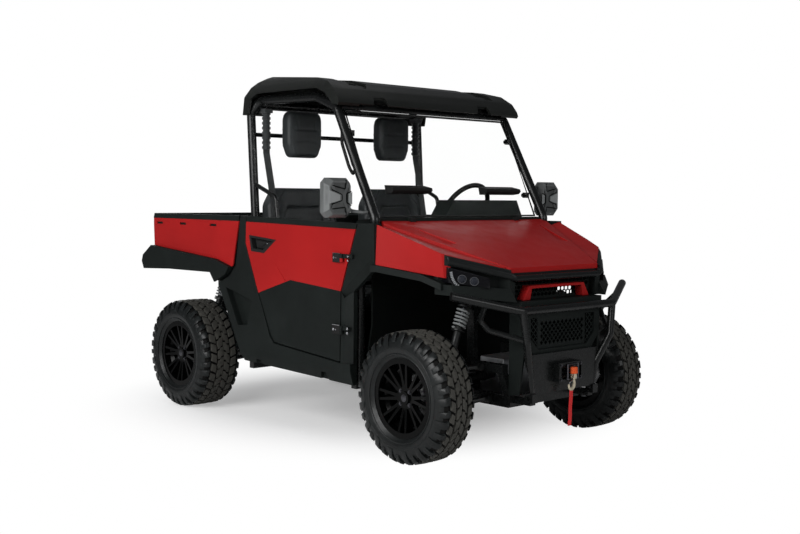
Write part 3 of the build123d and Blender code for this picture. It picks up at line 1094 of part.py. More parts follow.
GLASS_X = 626.0
GLASS_LOW = (-664, 1203 + SEAT_FIT)
GLASS_TOP = (-399, 1772)
glass = slab_x(((GLASS_LOW[0] - 6, GLASS_LOW[1]), GLASS_LOW, GLASS_TOP,
                (GLASS_TOP[0] - 6, GLASS_TOP[1] + 1)),
               -GLASS_X, GLASS_X)
glass = glass - cage
VENT_X = (220.0, 500.0)
VENT_Z = 1352.0
vents = []
for side in (-1, 1):
    ends = sorted(side * x for x in VENT_X)
    outer = slab_x(((-602, VENT_Z - 14), (-648, VENT_Z - 2), (-648, VENT_Z + 8), (-590, VENT_Z + 16)),
                   *ends)
    vents += (outer - glass).solids()
save("windshield", glass)
save("windshield_vents", Compound(children=vents))

# ---------------------------------------------------------------- seats
SEAT_X = (115.0, 620.0)
SEAT_PAN_Z = SEAT_BOX_Z + SEAT_FIT
CUSHION_H = 128.0
BACK_TOP = 1358.0
cushion = slab_x(((-115, SEAT_PAN_Z), (-128, SEAT_PAN_Z + 60), (-95, SEAT_PAN_Z + CUSHION_H),
                  (225, SEAT_PAN_Z + 110),
                  (335, SEAT_PAN_Z + 100), (335, SEAT_PAN_Z)), *SEAT_X)
back_low_z = SEAT_PAN_Z + CUSHION_H + 2
back = slab_x(((222, back_low_z), (290, BACK_TOP - 30), (312, BACK_TOP), (352, BACK_TOP),
               (362, BACK_TOP - 60),
               (356, back_low_z)), *SEAT_X)
save("seat_cushions", pair(cushion))
back_stay = block(180, 220, 356.5, TUB_REAR_Y - 14 - SEAT_FIT, 880, 980)
back_stay2 = block(520, 560, 356.5, TUB_REAR_Y - 14 - SEAT_FIT, 880, 980)
save("seat_backs", pair(back + back_stay + back_stay2))
HEADREST_X = (232.0, 482.0)
HEADREST_Z = (1538.0, 1806.0)
bar_front_y = HEADREST_BAR[0] - 12 - SEAT_FIT
pad_x0, pad_x1 = HEADREST_X
pad_z0, pad_z1 = HEADREST_Z
pad = slab_y(((pad_x0 + 34, pad_z0), (pad_x1 - 34, pad_z0), (pad_x1, pad_z0 + 52), (pad_x1, pad_z1 - 34),
              (pad_x1 - 24, pad_z1), (pad_x0 + 24, pad_z1), (pad_x0, pad_z1 - 34), (pad_x0, pad_z0 + 52)),
             268, 352)
pad = pad + block(330, 384, 350, bar_front_y, HEADREST_BAR[1] - 30, HEADREST_BAR[1] + 30)
save("headrests", pair(pad))

# ---------------------------------------------------------------- seat belts
BELT_W = 46.0
BELT_T = 3.0
belt_run = ((338, 1800), (336, 1560), (286, 1364), (238, 1130), (200, 900), (180, 800))
belt_side = [(y - BELT_T / 2, z) for y, z in belt_run] + [(y + BELT_T / 2, z) for y,
                                                          z in reversed(belt_run)]
BELT_X = 596.0
belt = slab_x(belt_side, BELT_X - BELT_W / 2, BELT_X + BELT_W / 2)
boot = rod((BELT_X, 338, 1580), (BELT_X, 338, 1790), 20)
boot += [rod((BELT_X, 338, z), (BELT_X, 338, z + 14), 25) for z in range(1584, 1784, 28)]
reel = block(BELT_X - 28, BELT_X + 28, 312, 364, 1790, 1835 - TUBE_R + 3 - SEAT_FIT)
belt = belt + boot + reel - (cage + cushion)
save("seat_belts", pair(belt))

# ---------------------------------------------------------------- mirrors
MIRROR_X = (742.0, 914.0)
MIRROR_Z = (1206.0, 1408.0)
MIRROR_Y = (-612.0, -556.0)
MIRROR_CORNER = 26.0


def mirror_outline(y, taper):
    """The housing's outline at one y, drawn in by a taper."""
    x0, x1 = MIRROR_X[0] + taper, MIRROR_X[1] - taper
    z0, z1 = MIRROR_Z[0] + taper, MIRROR_Z[1] - taper
    cut = MIRROR_CORNER
    return [(x, y, z) for x, z in ((x0 + cut, z0), (x1 - cut, z0), (x1, z0 + cut), (x1, z1 - cut),
                                   (x1 - cut, z1), (x0 + cut, z1), (x0, z1 - cut), (x0, z0 + cut))]


mirror_y0, mirror_y1 = MIRROR_Y
mirror = ruled([mirror_outline(mirror_y0, 16), mirror_outline(mirror_y0 + 26, 0)])
mirror = mirror + ruled([mirror_outline(mirror_y0 + 26, 0), mirror_outline(mirror_y1, 0)])
mirror_x, mirror_z = sum(MIRROR_X) / 2, sum(MIRROR_Z) / 2
# fields sunk between the crossed ribs of its back: upper and lower, then the sides
for half_x, half_z in ((46, 76), (46, -76)):
    mirror -= slab_y(((mirror_x - half_x, mirror_z + half_z), (mirror_x + half_x, mirror_z + half_z),
                      (mirror_x + half_x * 0.55, mirror_z + half_z * 0.36),
                      (mirror_x - half_x * 0.55, mirror_z + half_z * 0.36)), mirror_y0 - 1, mirror_y0 + 6)
for half_x in (58, -58):
    mirror -= slab_y(((mirror_x + half_x, mirror_z + 58), (mirror_x + half_x, mirror_z - 58),
                      (mirror_x + half_x * 0.66, mirror_z - 20), (mirror_x + half_x * 0.66, mirror_z + 20)),
                     mirror_y0 - 1, mirror_y0 + 6)
mirror = mirror + tube([(668, -664, 1236), (700, -640, 1232), (730, -584, 1240), (760, -584, 1260)], 9, 14)
mirror = mirror - side_hoop
save("mirrors", pair(mirror))

# ---------------------------------------------------------------- bed
GATE_X = 672.0
BED_X = BODY_X - SKIN_T - 12
gate_y0 = BED_Y1 - GATE_T
bed = block(-BED_X, BED_X, BED_Y0 + 6, BED_Y1, BED_FLOOR_Z, BELT_Z - RAIL_CAP_H)
bed -= block(-BED_X + BED_WALL, BED_X - BED_WALL, BED_Y0 + 6 + BED_WALL, BED_Y1 + 1,
             BED_FLOOR_Z + BED_FLOOR_T, BELT_Z)
bed -= slab_x(((500, BED_FLOOR_Z - 1), (BED_Y0, 960), (BED_Y0, BED_FLOOR_Z - 1)), -BED_X - 1, BED_X + 1)
cap_side = slab_x(((404, BELT_Z), (408, BELT_Z - RAIL_CAP_H), (BED_Y1, BELT_Z - RAIL_CAP_H),
                   (BED_Y1 - 12, BELT_Z)), BED_X - BED_WALL - 6, BODY_X + 2)
cap_front = block(-BED_X, BED_X, 424, 470, BELT_Z - RAIL_CAP_H, BELT_Z)
fender = slab_x(((BED_Y1, 990), (TAIL - 30, 925), (TAIL - 16, 884), (TAIL - 40, 837), (1137, 850),
                 (676, 854), (630, 800),
                 (516, 850), (478, 896), (630, 935)), BODY_X - 60, BODY_X + 24)
fender -= slab_x(((TAIL - 12, 790), (TAIL - 82, 862), (1137, 872), (660, 876), (600, 790)), BODY_X - 61,
                 BODY_X + 12)
side_wall = slab_x(((412, BELT_Z - RAIL_CAP_H), (472, 905), (630, 935), (BED_Y1, 990),
                    (BED_Y1, BELT_Z - RAIL_CAP_H)), BED_X - 4, BODY_X - SKIN_T)
bed_side = cap_side + fender + side_wall
ear = block(362, 378, BED_PIVOT_Y - 24, BED_PIVOT_Y + 24, BED_PIVOT_Z, BED_FLOOR_Z + 1)
ear = ear + rod((362, BED_PIVOT_Y, BED_PIVOT_Z), (378, BED_PIVOT_Y, BED_PIVOT_Z), 26)
GATE_AXIS_Y = BED_Y1 + 12
GATE_AXIS_Z = 912.0
GATE_PIN_R = 6.0
gate_ear = slab_x(((BED_Y1 - 20, BED_FLOOR_Z), (BED_Y1 - 20, 896), (BED_Y1, 924), (GATE_AXIS_Y + 10, 924),
                   (GATE_AXIS_Y + 10, 900), (BED_Y1 + 2, BED_FLOOR_Z)), 684, 700)
bed_half = bed_side + ear + gate_ear
bed = bed + bed_half + mirrored(bed_half) + cap_front
bed = bed - rod((-400, BED_PIVOT_Y, BED_PIVOT_Z), (400, BED_PIVOT_Y, BED_PIVOT_Z),
                BED_PIVOT_R + SPINDLE_FIT)
bed = bed + rod((-699, GATE_AXIS_Y, GATE_AXIS_Z), (699, GATE_AXIS_Y, GATE_AXIS_Z), GATE_PIN_R)
save("bed_tub", bed)
bed_skin = slab_x(((408, BELT_Z - RAIL_CAP_H), (468, 908), (478, 897), (630, 935), (BED_Y1, 990),
                   (BED_Y1, BELT_Z - RAIL_CAP_H)), SKIN_X, BODY_X)
for y0 in (BED_Y1 - 107, BED_Y1 - 377, BED_Y1 - 712):
    bed_skin -= block(SKIN_X - 1, BODY_X + 1, y0, y0 + 70, 1128, 1142)
bed_skin -= planed((BED_Y1 + 60, 1130), (400, 948), (BED_Y1 + 60, 960), BODY_X, 6)
save("bed_sides", pair(bed_skin - fender))

gate = block(-GATE_X, GATE_X, gate_y0, BED_Y1, BED_FLOOR_Z + BED_FLOOR_T + 7, BELT_Z - RAIL_CAP_H)
gate = gate + block(-GATE_X, GATE_X, gate_y0 - 4, BED_Y1, BELT_Z - RAIL_CAP_H - 1, BELT_Z)
for x in (-480, 0, 480):
    gate = gate + rod((x - 35, GATE_AXIS_Y, GATE_AXIS_Z), (x + 35, GATE_AXIS_Y, GATE_AXIS_Z),
                      GATE_PIN_R + 5)
    gate = gate + block(x - 35, x + 35, BED_Y1 - 10, GATE_AXIS_Y, GATE_AXIS_Z - 6, GATE_AXIS_Z + 8)
gate = gate - rod((-700, GATE_AXIS_Y, GATE_AXIS_Z), (700, GATE_AXIS_Y, GATE_AXIS_Z),
                  GATE_PIN_R + SPINDLE_FIT)
save("tailgate", gate)
tail_lamp = block(690, 722, BED_Y1 + SEAT_FIT, BED_Y1 + 12, 1010, 1130)
save("tail_lamps", pair(tail_lamp))
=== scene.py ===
import math

import bmesh
import bpy
from mathutils import Matrix, Vector, noise


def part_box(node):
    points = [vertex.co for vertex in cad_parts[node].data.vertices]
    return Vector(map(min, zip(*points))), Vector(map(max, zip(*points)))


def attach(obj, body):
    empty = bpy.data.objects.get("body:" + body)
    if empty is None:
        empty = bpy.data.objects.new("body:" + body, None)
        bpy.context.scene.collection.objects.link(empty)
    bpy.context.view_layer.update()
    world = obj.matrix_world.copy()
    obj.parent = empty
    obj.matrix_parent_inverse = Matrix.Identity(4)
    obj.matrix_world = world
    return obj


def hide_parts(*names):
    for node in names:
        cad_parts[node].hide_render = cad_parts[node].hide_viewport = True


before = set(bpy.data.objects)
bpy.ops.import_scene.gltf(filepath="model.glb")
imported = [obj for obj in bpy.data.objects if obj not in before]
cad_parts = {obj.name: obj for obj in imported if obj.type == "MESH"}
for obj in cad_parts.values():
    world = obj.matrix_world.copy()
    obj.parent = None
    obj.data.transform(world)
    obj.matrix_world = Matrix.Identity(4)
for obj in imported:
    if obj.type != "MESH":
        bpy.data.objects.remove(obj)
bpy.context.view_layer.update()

bl_info = {
    "name": "Side by Side Utility Vehicle",
    "version": (1, 0, 0),
    "blender": (4, 5, 0),
    "location": "3D View > Sidebar > Utility Vehicle",
    "description": "Finishes, tyres, cushions, lamps and small parts for a two-seat side by side",
    "category": "Object",
}

SIDES = (("left", 1), ("right", -1))
AXLES = ("front", "rear")


# ------------------------------------------------------------------ settings
def colour(label, text, default):
    """A colour property with its name, description and default."""
    return bpy.props.FloatVectorProperty(
        name=label, description=text, default=default, size=4, min=0.0, max=1.0, subtype="COLOR")


def metres(label, text, default):
    """A length property in metres."""
    return bpy.props.FloatProperty(
        name=label, description=text, default=default, min=0.0, subtype="DISTANCE", unit="LENGTH")


class FinishSettings(bpy.types.PropertyGroup):
    """Colours of the vehicle's surfaces."""

    panel_red: colour("Panel red", "Moulded body panels", (0.335, 0.0125, 0.0125, 1))
    plastic_black: colour("Black plastic", "Grained side and front mouldings", (0.0070, 0.0092, 0.0085, 1))
    roof_black: colour("Roof black", "Smoother roof moulding", (0.009, 0.010, 0.009, 1))
    coat_black: colour("Frame black", "Powder coat on tubes and frame", (0.0045, 0.0050, 0.0050, 1))
    # Tread faces: dusty, and lighter than the sidewall rubber as painted light on the tread
    rubber: colour("Tyre rubber", "Dusty faces of the tread", (0.036, 0.035, 0.031, 1))
    vinyl: colour("Seat vinyl", "Covers of seats and headrests", (0.016, 0.019, 0.020, 1))
    strap_red: colour("Strap red", "Webbing on the winch hook", (0.55, 0.012, 0.012, 1))


class StageSettings(bpy.types.PropertyGroup):
    """Camera, lamps and floor."""

    lens: bpy.props.FloatProperty(
        name="Lens", description="Focal length, in millimetres", default=50.62, min=1.0, unit="CAMERA")
    camera_x: metres("Camera out", "Camera distance to the vehicle's right", 4.4836)
    camera_y: metres("Camera ahead", "Camera distance ahead of the vehicle's middle", 4.9999)
    camera_z: metres("Camera height", "Camera height above the floor", 1.3259)
    light: bpy.props.FloatProperty(
        name="Light", description="Share of the normal lamp power", default=1.0, min=0.0, max=4.0)


# ------------------------------------------------------------------ materials
class Nodes:
    """Adds and joins the nodes of one tree."""

    def __init__(self, tree):
        self.tree = tree

    def fill(self, node, inputs):
        """Joins a node's inputs to outputs, or sets them where constants are given."""
        for key, value in inputs.items():
            if isinstance(value, bpy.types.NodeSocket):
                self.tree.links.new(value, node.inputs[key])
            else:
                node.inputs[key].default_value = value

    def add(self, kind, inputs=None, **values):
        """A node with its plain properties set and its inputs filled."""
        node = self.tree.nodes.new(kind)
        for key, value in values.items():
            setattr(node, key, value)
        self.fill(node, inputs or {})
        return node

    def seen_directly(self):
        """One for rays from the camera, also through glass, else nothing."""
        path = self.add("ShaderNodeLightPath").outputs
        return self.add("ShaderNodeMath", {0: path["Is Camera Ray"], 1: path["Is Transmission Ray"]},
                        operation="MAXIMUM").outputs[0]


EDGE_TURN = (0.52, 0.62)      # pointiness where the lighter edge starts and is full: rubbed wear, and on the tyre a painted highlight


class Shader(Nodes):
    """The nodes of one material, round its surface."""

    def __init__(self, name):
        self.material = bpy.data.materials.new(name)
        self.material.use_nodes = True
        super().__init__(self.material.node_tree)
        self.surface = self.tree.nodes["Principled BSDF"]
        self.place = self.add("ShaderNodeTexCoord").outputs["Object"]

    def set(self, **values):
        """Outputs or constants for the surface's own sockets."""
        self.fill(self.surface, {key.replace("_", " "): value for key, value in values.items()})

    def noise(self, scale, detail, rough=0.5, stretch=(1, 1, 1)):
        """A noise output at so many features a metre."""
        mapping = self.add("ShaderNodeMapping", {"Vector": self.place, "Scale": stretch})
        return self.add("ShaderNodeTexNoise", {"Vector": mapping.outputs["Vector"], "Scale": scale,
                                               "Detail": detail, "Roughness": rough}).outputs["Fac"]

    def cells(self, scale):
        """A cell pattern's distance output."""
        return self.add("ShaderNodeTexVoronoi", {"Vector": self.place, "Scale": scale}).outputs["Distance"]

    def ramp(self, source, low, high, at=(0.3, 0.7)):
        """A colour ramp between two colours."""
        node = self.add("ShaderNodeValToRGB", {"Fac": source})
        first, last = node.color_ramp.elements
        first.position, last.position = at
        first.color, last.color = low, high
        return node.outputs["Color"]

    def spread(self, source, low, high, at=(0.3, 0.7)):
        """A value that runs from low to high with the source."""
        return self.add("ShaderNodeMapRange", {"Value": source, "From Min": at[0], "From Max": at[1],
                                               "To Min": low, "To Max": high}).outputs["Result"]

    def tint(self, source, rgba, low, high, edge, amount=0.35, at=(0.3, 0.7)):
        """A colour between two shares of itself, lighter where the surface turns sharply, as rubbed wear
        and, on the tyre, as a painted highlight.
        """
        base = self.ramp(source, shade(rgba, low), shade(rgba, high), at)
        geometry = self.add("ShaderNodeNewGeometry")
        mask = self.spread(geometry.outputs["Pointiness"], 0.0, amount, EDGE_TURN)
        return self.add("ShaderNodeMix", {0: mask, 6: base, 7: shade(rgba, edge)},
                        data_type="RGBA").outputs[2]

    def bump(self, *layers):
        """Layers of (output, depth in metres), one on the other."""
        inputs = {"Strength": 1.0}
        for output, depth in layers:
            inputs.update({"Distance": depth, "Height": output})
            inputs["Normal"] = self.add("ShaderNodeBump", inputs).outputs["Normal"]
        self.set(Normal=inputs["Normal"])


def shade(rgba, share):
    """A colour made lighter or darker by a share."""
    return tuple(min(1.0, value * share) for value in rgba[:3]) + (1.0,)


def panel_paint(name, rgba, rough=(0.30, 0.40), shine=0.07):
    """Gloss moulded panel colour with a faint orange peel."""
    shader = Shader(name)
    shader.set(Base_Color=shader.tint(shader.noise(3.0, 3), rgba, 0.92, 1.06, 1.7, 0.25),
               Roughness=shader.spread(shader.noise(14.0, 5), *rough), Specular_IOR_Level=shine)
    shader.bump((shader.noise(260.0, 2), 0.00012))


def grained_plastic(name, rgba, rough=(0.5, 0.62), grain=0.00030, shine=0.12):
    """Moulded plastic with a leather-like grain and rubbed edges."""
    shader = Shader(name)
    shader.set(Base_Color=shader.tint(shader.noise(5.0, 5), rgba, 0.82, 1.18, 2.2),
               Roughness=shader.spread(shader.noise(9.0, 6), *rough), Specular_IOR_Level=shine)
    shader.bump((shader.cells(650.0), grain), (shader.noise(1500.0, 2), grain * 0.4))


def powder_coat(name, rgba, rough=(0.22, 0.32)):
    """Textured black powder coat on steel."""
    shader = Shader(name)
    shader.set(Base_Color=shader.tint(shader.noise(7.0, 4), rgba, 0.85, 1.2, 2.6, 0.3),
               Roughness=shader.spread(shader.noise(22.0, 5), *rough), Specular_IOR_Level=0.30)
    shader.bump((shader.noise(900.0, 3), 0.00008))


def tyre_rubber(name, rgba, rough=(0.62, 0.82), shine=0.14):
    """Dusty tyre rubber with fine moulded lines, and lug edges painted lighter as a highlight."""
    shader = Shader(name)
    shader.set(Base_Color=shader.tint(shader.noise(16.0, 8, 0.6), rgba, 0.8, 1.7, 2.3, 0.5, (0.42, 0.75)),
               Roughness=shader.spread(shader.noise(30.0, 6), *rough), Specular_IOR_Level=shine,
               Sheen_Weight=0.02, Sheen_Roughness=0.5)
    shader.bump((shader.noise(420.0, 4), 0.0004), (shader.noise(60.0, 3), 0.0006))


def vinyl_cover(name, rgba):
    """Seat vinyl with pores and soft creases."""
    shader = Shader(name)
    shader.set(Base_Color=shader.tint(shader.noise(8.0, 5), rgba, 0.85, 1.25, 1.9, 0.3),
               Roughness=shader.spread(shader.noise(18.0, 4), 0.42, 0.56), Specular_IOR_Level=0.35,
               Sheen_Weight=0.10, Sheen_Roughness=0.4)
    shader.bump((shader.cells(520.0), 0.00035), (shader.noise(26.0, 5), 0.0016))


def bare_metal(name, rgba, rough=(0.22, 0.36), stretch=(1, 1, 14)):
    """Metal with fine brushed streaks."""
    shader = Shader(name)
    streaks = shader.noise(30.0, 4, 0.6, stretch)
    shader.set(Base_Color=shader.ramp(streaks, shade(rgba, 0.8), shade(rgba, 1.1)),
               Roughness=shader.spread(shader.noise(60.0, 5, 0.6, stretch), *rough), Metallic=1.0)
    shader.bump((shader.noise(300.0, 3, 0.6, stretch), 0.00008))


def webbing(name, rgba):
    """Woven strap: ribs across, fine yarns along."""
    shader = Shader(name)
    shader.set(Base_Color=shader.ramp(shader.noise(40.0, 4), shade(rgba, 0.8), shade(rgba, 1.15)),
               Roughness=0.78, Sheen_Weight=0.3, Sheen_Roughness=0.5)
    wave = shader.add("ShaderNodeTexWave", {"Vector": shader.place, "Scale": 150.0, "Distortion": 0.6},
                      wave_type="BANDS", bands_direction="Z")
    shader.bump((wave.outputs["Fac"], 0.0004), (shader.noise(900.0, 2), 0.0003))


def clear_plastic(name, rgba):
    """Clear glazing with a faint haze."""
    shader = Shader(name)
    shader.set(Base_Color=shader.ramp(shader.noise(2.0, 3), shade(rgba, 0.99), rgba),
               Roughness=shader.spread(shader.noise(6.0, 5), 0.02, 0.04),
               Transmission_Weight=1.0, IOR=1.02, Specular_IOR_Level=0.2)


def lens_plastic(name, rgba):
    """Coloured plastic of an unlit lamp, under a clear coat."""
    shader = Shader(name)
    shader.set(Base_Color=shader.ramp(shader.noise(80.0, 2), shade(rgba, 0.9), rgba),
               Roughness=0.2, Coat_Weight=0.6)


EVEN = (1, 1, 1)              # the stretch of a metal without streaks


def ready_materials():
    """Every finish of the vehicle, made once."""
    if bpy.data.materials.get("panel_red"):
        return
    use = bpy.context.scene.utv_finish
    panel_paint("panel_red", use.panel_red)
    panel_paint("rim_gloss", shade(use.coat_black, 0.32), rough=(0.12, 0.20), shine=0.09)
    panel_paint("gloss_black", (0.004, 0.004, 0.005), rough=(0.10, 0.18), shine=0.25)
    panel_paint("stopper_orange", (0.70, 0.10, 0.03))
    panel_paint("spring_grey", (0.19, 0.20, 0.20))
    panel_paint("hook_white", (0.45, 0.40, 0.30))
    panel_paint("lens_dark", (0.02, 0.022, 0.028))
    grained_plastic("grained_black", use.plastic_black)
    grained_plastic("roof_black", use.roof_black, rough=(0.28, 0.38), grain=0.00014, shine=0.26)
    grained_plastic("dash_black", shade(use.plastic_black, 1.1), rough=(0.48, 0.6), grain=0.00025)
    grained_plastic("wing_bar", shade(use.plastic_black, 1.2))
    grained_plastic("brow_black", (0.008, 0.009, 0.009), rough=(0.22, 0.30), grain=0.00012)
    grained_plastic("mirror_grey", (0.085, 0.090, 0.090), rough=(0.32, 0.42), shine=0.3)
    # A pale copy of the mirror grey, as a painted highlight on the plates of the mirror backs
    grained_plastic("mirror_highlight_pale", (0.19, 0.20, 0.20), rough=(0.26, 0.34), shine=0.4)
    # A darker copy of the black plastic, as painted shade: on the cab tub seen inside the cab and through
    # the arches, and on the black lines of the mirror backs
    grained_plastic("painted_shade_black", shade(use.plastic_black, 0.45), rough=(0.6, 0.75), shine=0.05)
    # Pure black without sheen, as painted shade in the hollows behind the grille
    grained_plastic("hollow_shade_black", (0.0010, 0.0010, 0.0010), rough=(0.8, 0.9), shine=0.0)
    grained_plastic("rubber_black", (0.010, 0.010, 0.010), rough=(0.6, 0.75), grain=0.00015)
    powder_coat("frame_coat", use.coat_black)
    powder_coat("gear_coat", shade(use.coat_black, 1.2), rough=(0.34, 0.46))
    # One rubber in lit and shaded copies: the tread lighter as painted light, the groove floors near black
    # and the sidewall darker as painted shade
    tyre_rubber("tyre_rubber", use.rubber)
    tyre_rubber("tyre_root_shade", shade(use.rubber, 0.04))
    tyre_rubber("tyre_side_shade", (0.0040, 0.0052, 0.0052), rough=(0.30, 0.42), shine=0.30)
    vinyl_cover("seat_vinyl", use.vinyl)
    vinyl_cover("seat_centre", shade(use.vinyl, 0.72))
    webbing("belt_black", shade(use.vinyl, 0.9))
    webbing("strap_red", use.strap_red)
    clear_plastic("window_clear", (0.996, 1.0, 0.998, 1))
    lens_plastic("lens_red", (0.35, 0.006, 0.006, 1))
    lens_plastic("lamp_white", (0.24, 0.25, 0.26, 1))
    bare_metal("cast_alloy", (0.32, 0.33, 0.34), rough=(0.42, 0.6), stretch=EVEN)
    bare_metal("bright_steel", (0.62, 0.62, 0.63))
    bare_metal("dark_chrome", (0.09, 0.09, 0.10), rough=(0.22, 0.34), stretch=EVEN)
    bare_metal("mirror_glass", (0.8, 0.82, 0.84), rough=(0.01, 0.03))
    bare_metal("chrome", (0.72, 0.73, 0.75), rough=(0.06, 0.12), stretch=EVEN)


def paint(piece, *names):
    """Puts finishes in a piece's material slots, in order."""
    piece.data.materials.clear()
    for name in names:
        piece.data.materials.append(bpy.data.materials[name])


# ------------------------------------------------------------------ making pieces
SHARP = 28                    # degrees from which an edge is rounded
CAD_SHARP = 35                # degrees from which an unrounded CAD edge stays sharp
CAD_WELD, PIECE_WELD = 0.00002, 0.00001
RIM_BEND = 0.006


def smooth(piece, angle, weld=0.0):
    """Soft shading with sharp edges above an angle, and faces turned outwards."""
    mesh = bmesh.new()
    mesh.from_mesh(piece.data)
    if weld:
        bmesh.ops.remove_doubles(mesh, verts=mesh.verts, dist=weld)
        bmesh.ops.recalc_face_normals(mesh, faces=mesh.faces)
    limit = math.radians(angle)
    for face in mesh.faces:
        face.smooth = True
    for edge in mesh.edges:
        edge.smooth = not (len(edge.link_faces) == 2 and edge.calc_face_angle(0.0) > limit)
    mesh.to_mesh(piece.data)
    mesh.free()


def round_edges(piece, width):
    """Rounds a piece's edges by modifiers alone."""
    bevel = piece.modifiers.new("round", "BEVEL")
    bevel.width = width
    bevel.segments = 2
    bevel.limit_method = "ANGLE"
    bevel.angle_limit = math.radians(SHARP)
    bevel.harden_normals = False
    normals = piece.modifiers.new("normals", "WEIGHTED_NORMAL")
    normals.keep_sharp = False
    normals.weight = 80


def soften(piece, width):
    """Rounds the edges of a CAD node, whose mesh stays as it is."""
    weld = piece.modifiers.new("weld", "WELD")
    weld.merge_threshold = CAD_WELD
    round_edges(piece, width)


def eased(points, radius, steps):
    """A line of straight runs with round corners."""
    points = [Vector(p) for p in points]
    out = [points[0]]
    for before, corner, after in zip(points, points[1:], points[2:]):
        into, away = (corner - before), (after - corner)
        cut = min(radius, into.length * 0.48, away.length * 0.48)
        start, end = corner - into.normalized() * cut, corner + away.normalized() * cut
        for step in range(steps + 1):
            t = step / steps
            out.append(start * (1 - t) ** 2 + corner * 2 * t * (1 - t) + end * t * t)
    return out + [points[-1]]


def circle(middle, out, across, radius, sides):
    """Points round a circle in the plane of two directions."""
    return [middle + (out * math.cos(a) + across * math.sin(a)) * radius
            for a in (2 * math.pi * k / sides for k in range(sides))]


class Mesher:
    """Collects the points and faces of one piece."""

    def __init__(self, side=1):
        self.verts = []
        self.faces = []
        self.slots = []
        self.slot = 0
        self.side = side

    def add(self, verts, faces):
        """Adds points and the faces between them, in the slot in use and on the side in use."""
        base = len(self.verts)
        self.verts.extend([(point[0] * self.side, point[1], point[2]) for point in verts])
        self.faces.extend([tuple(base + i for i in face) for face in faces])
        self.slots.extend([self.slot] * len(faces))

    def tube_of(self, rings, closed=False):
        """Joins rings of as many points each."""
        count = len(rings[0])
        verts = [point for ring in rings for point in ring]
        faces = []
        last = len(rings) if closed else len(rings) - 1
        for i in range(last):
            j = (i + 1) % len(rings)
            for k in range(count):
                m = (k + 1) % count
                faces.append((i * count + k, i * count + m, j * count + m, j * count + k))
        if not closed:
            faces.append(tuple(range(count))[::-1])
            faces.append(tuple((len(rings) - 1) * count + k for k in range(count)))
        self.add(verts, faces)

    def plate(self, outline, offset):
        """A flat outline of points, thickened by an offset."""
        low = [Vector(point) for point in outline]
        self.tube_of([low, [point + Vector(offset) for point in low]])

    def box(self, low, high):
        """A box between two corners."""
        (x0, y0, z0), (x1, y1, z1) = low, high
        self.plate(((x0, y0, z0), (x1, y0, z0), (x1, y1, z0), (x0, y1, z0)), (0, 0, z1 - z0))

    def boxes(self, corners, shift=(0, 0, 0)):
        """Boxes between pairs of corners, moved by a shift."""
        for low, high in corners:
            self.box(Vector(low) + Vector(shift), Vector(high) + Vector(shift))

    def turned(self, origin, axis, profile, sides=28):
        """A body turned about an axis: its profile is (distance along it, radius)."""
        origin, axis = Vector(origin), Vector(axis).normalized()
        out = axis.orthogonal().normalized()
        across = axis.cross(out)
        self.tube_of([circle(origin + axis * distance, out, across, radius, sides)
                      for distance, radius in profile])

    def rod(self, start, end, radius, sides=18):
        """A round bar between two points."""
        start, end = Vector(start), Vector(end)
        self.turned(start, end - start, ((0, radius), ((end - start).length, radius)), sides)

    def sweep(self, points, radius, sides=10, closed=False):
        """A round tube along points, of one radius or one for each point."""
        points = [Vector(p) for p in points]
        count = len(points)
        radii = [radius] * count if isinstance(radius, float) else radius
        normal = None
        rings = []
        for index, point in enumerate(points):
            ahead = points[(index + 1) % count] if closed else points[min(index + 1, count - 1)]
            behind = points[index - 1] if closed or index else points[0]
            run = (ahead - behind).normalized()
            normal = run.orthogonal() if normal is None else normal
            normal = (normal - run * normal.dot(run)).normalized()
            rings.append(circle(point, normal, run.cross(normal), radii[index], sides))
        self.tube_of(rings, closed=closed)

    def rim(self, outline, radius):
        """A thin round rim along a closed outline with eased corners."""
        line = eased([*outline, outline[0]], RIM_BEND, steps=4)
        self.sweep(line[:-1], radius, sides=8, closed=True)

    def bolt(self, place, axis, radius):
        """A washer with a hexagon head on a surface."""
        place, axis = Vector(place), Vector(axis).normalized()
        self.turned(place, axis, ((-0.001, radius * 1.5), (radius * 0.25, radius * 1.5)), sides=20)
        self.turned(place + axis * radius * 0.2, axis,
                    ((0, radius), (radius * 0.62, radius), (radius * 0.8, radius * 0.84)), sides=6)

    def both(self, make):
        """Makes the same thing on both sides of the vehicle."""
        for side in (1, -1):
            self.side = side
            make()
        self.side = 1

    def piece(self, name, body, slot, *finishes, angle=38.0, rounding=0.0):
        """The finished piece, on its body, with its finishes; the slot is not used."""
        mesh = bpy.data.meshes.new(name)
        mesh.from_pydata(self.verts, [], self.faces)
        mesh.update()
        piece = bpy.data.objects.new(name, mesh)
        bpy.context.scene.collection.objects.link(piece)
        paint(piece, *finishes)
        mesh.polygons.foreach_set("material_index", self.slots)
        smooth(piece, angle, PIECE_WELD)
        if rounding:
            round_edges(piece, rounding)
        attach(piece, body)
        return piece


# ------------------------------------------------------------------ tyres
PITCHES = 34                  # tread pattern repeats round the tyre
GROOVE = 0.0115               # open groove between lugs
LUG_DEPTH = 0.015
LUG_CHAMFER = 0.0016
CROWN = 0.004                 # how much lower the tread is at its edges
LEAN = 0.16                   # slant of the lugs, in pitches
BEAD_R = 0.1785
ROW_EDGES = (0.33, 0.66)      # where the rows of lugs meet, in shares of the tyre's half width
LUG_WIDTHS = (0.56, 0.70)     # short and long shoulder lugs, in pitches
SHOULDER_LEANS = (0.9, 0.5, 0.1, -0.2, -0.3)
CARCASS_STEPS = 120
RING_STEPS = 96
LIT_DUSTY_TREAD, ROOT_SHADE, SHADED_SIDEWALL = 0, 1, 2      # a tyre's material slots: the tread lighter as dust and painted light, the groove floors and the sidewall darker as painted shade
SIDE_RINGS = (                 # inset, radius and size of the rim guard and a fine ring
    (0.006, 0.219, 0.0035),
    (0.0012, 0.250, 0.0012),
)


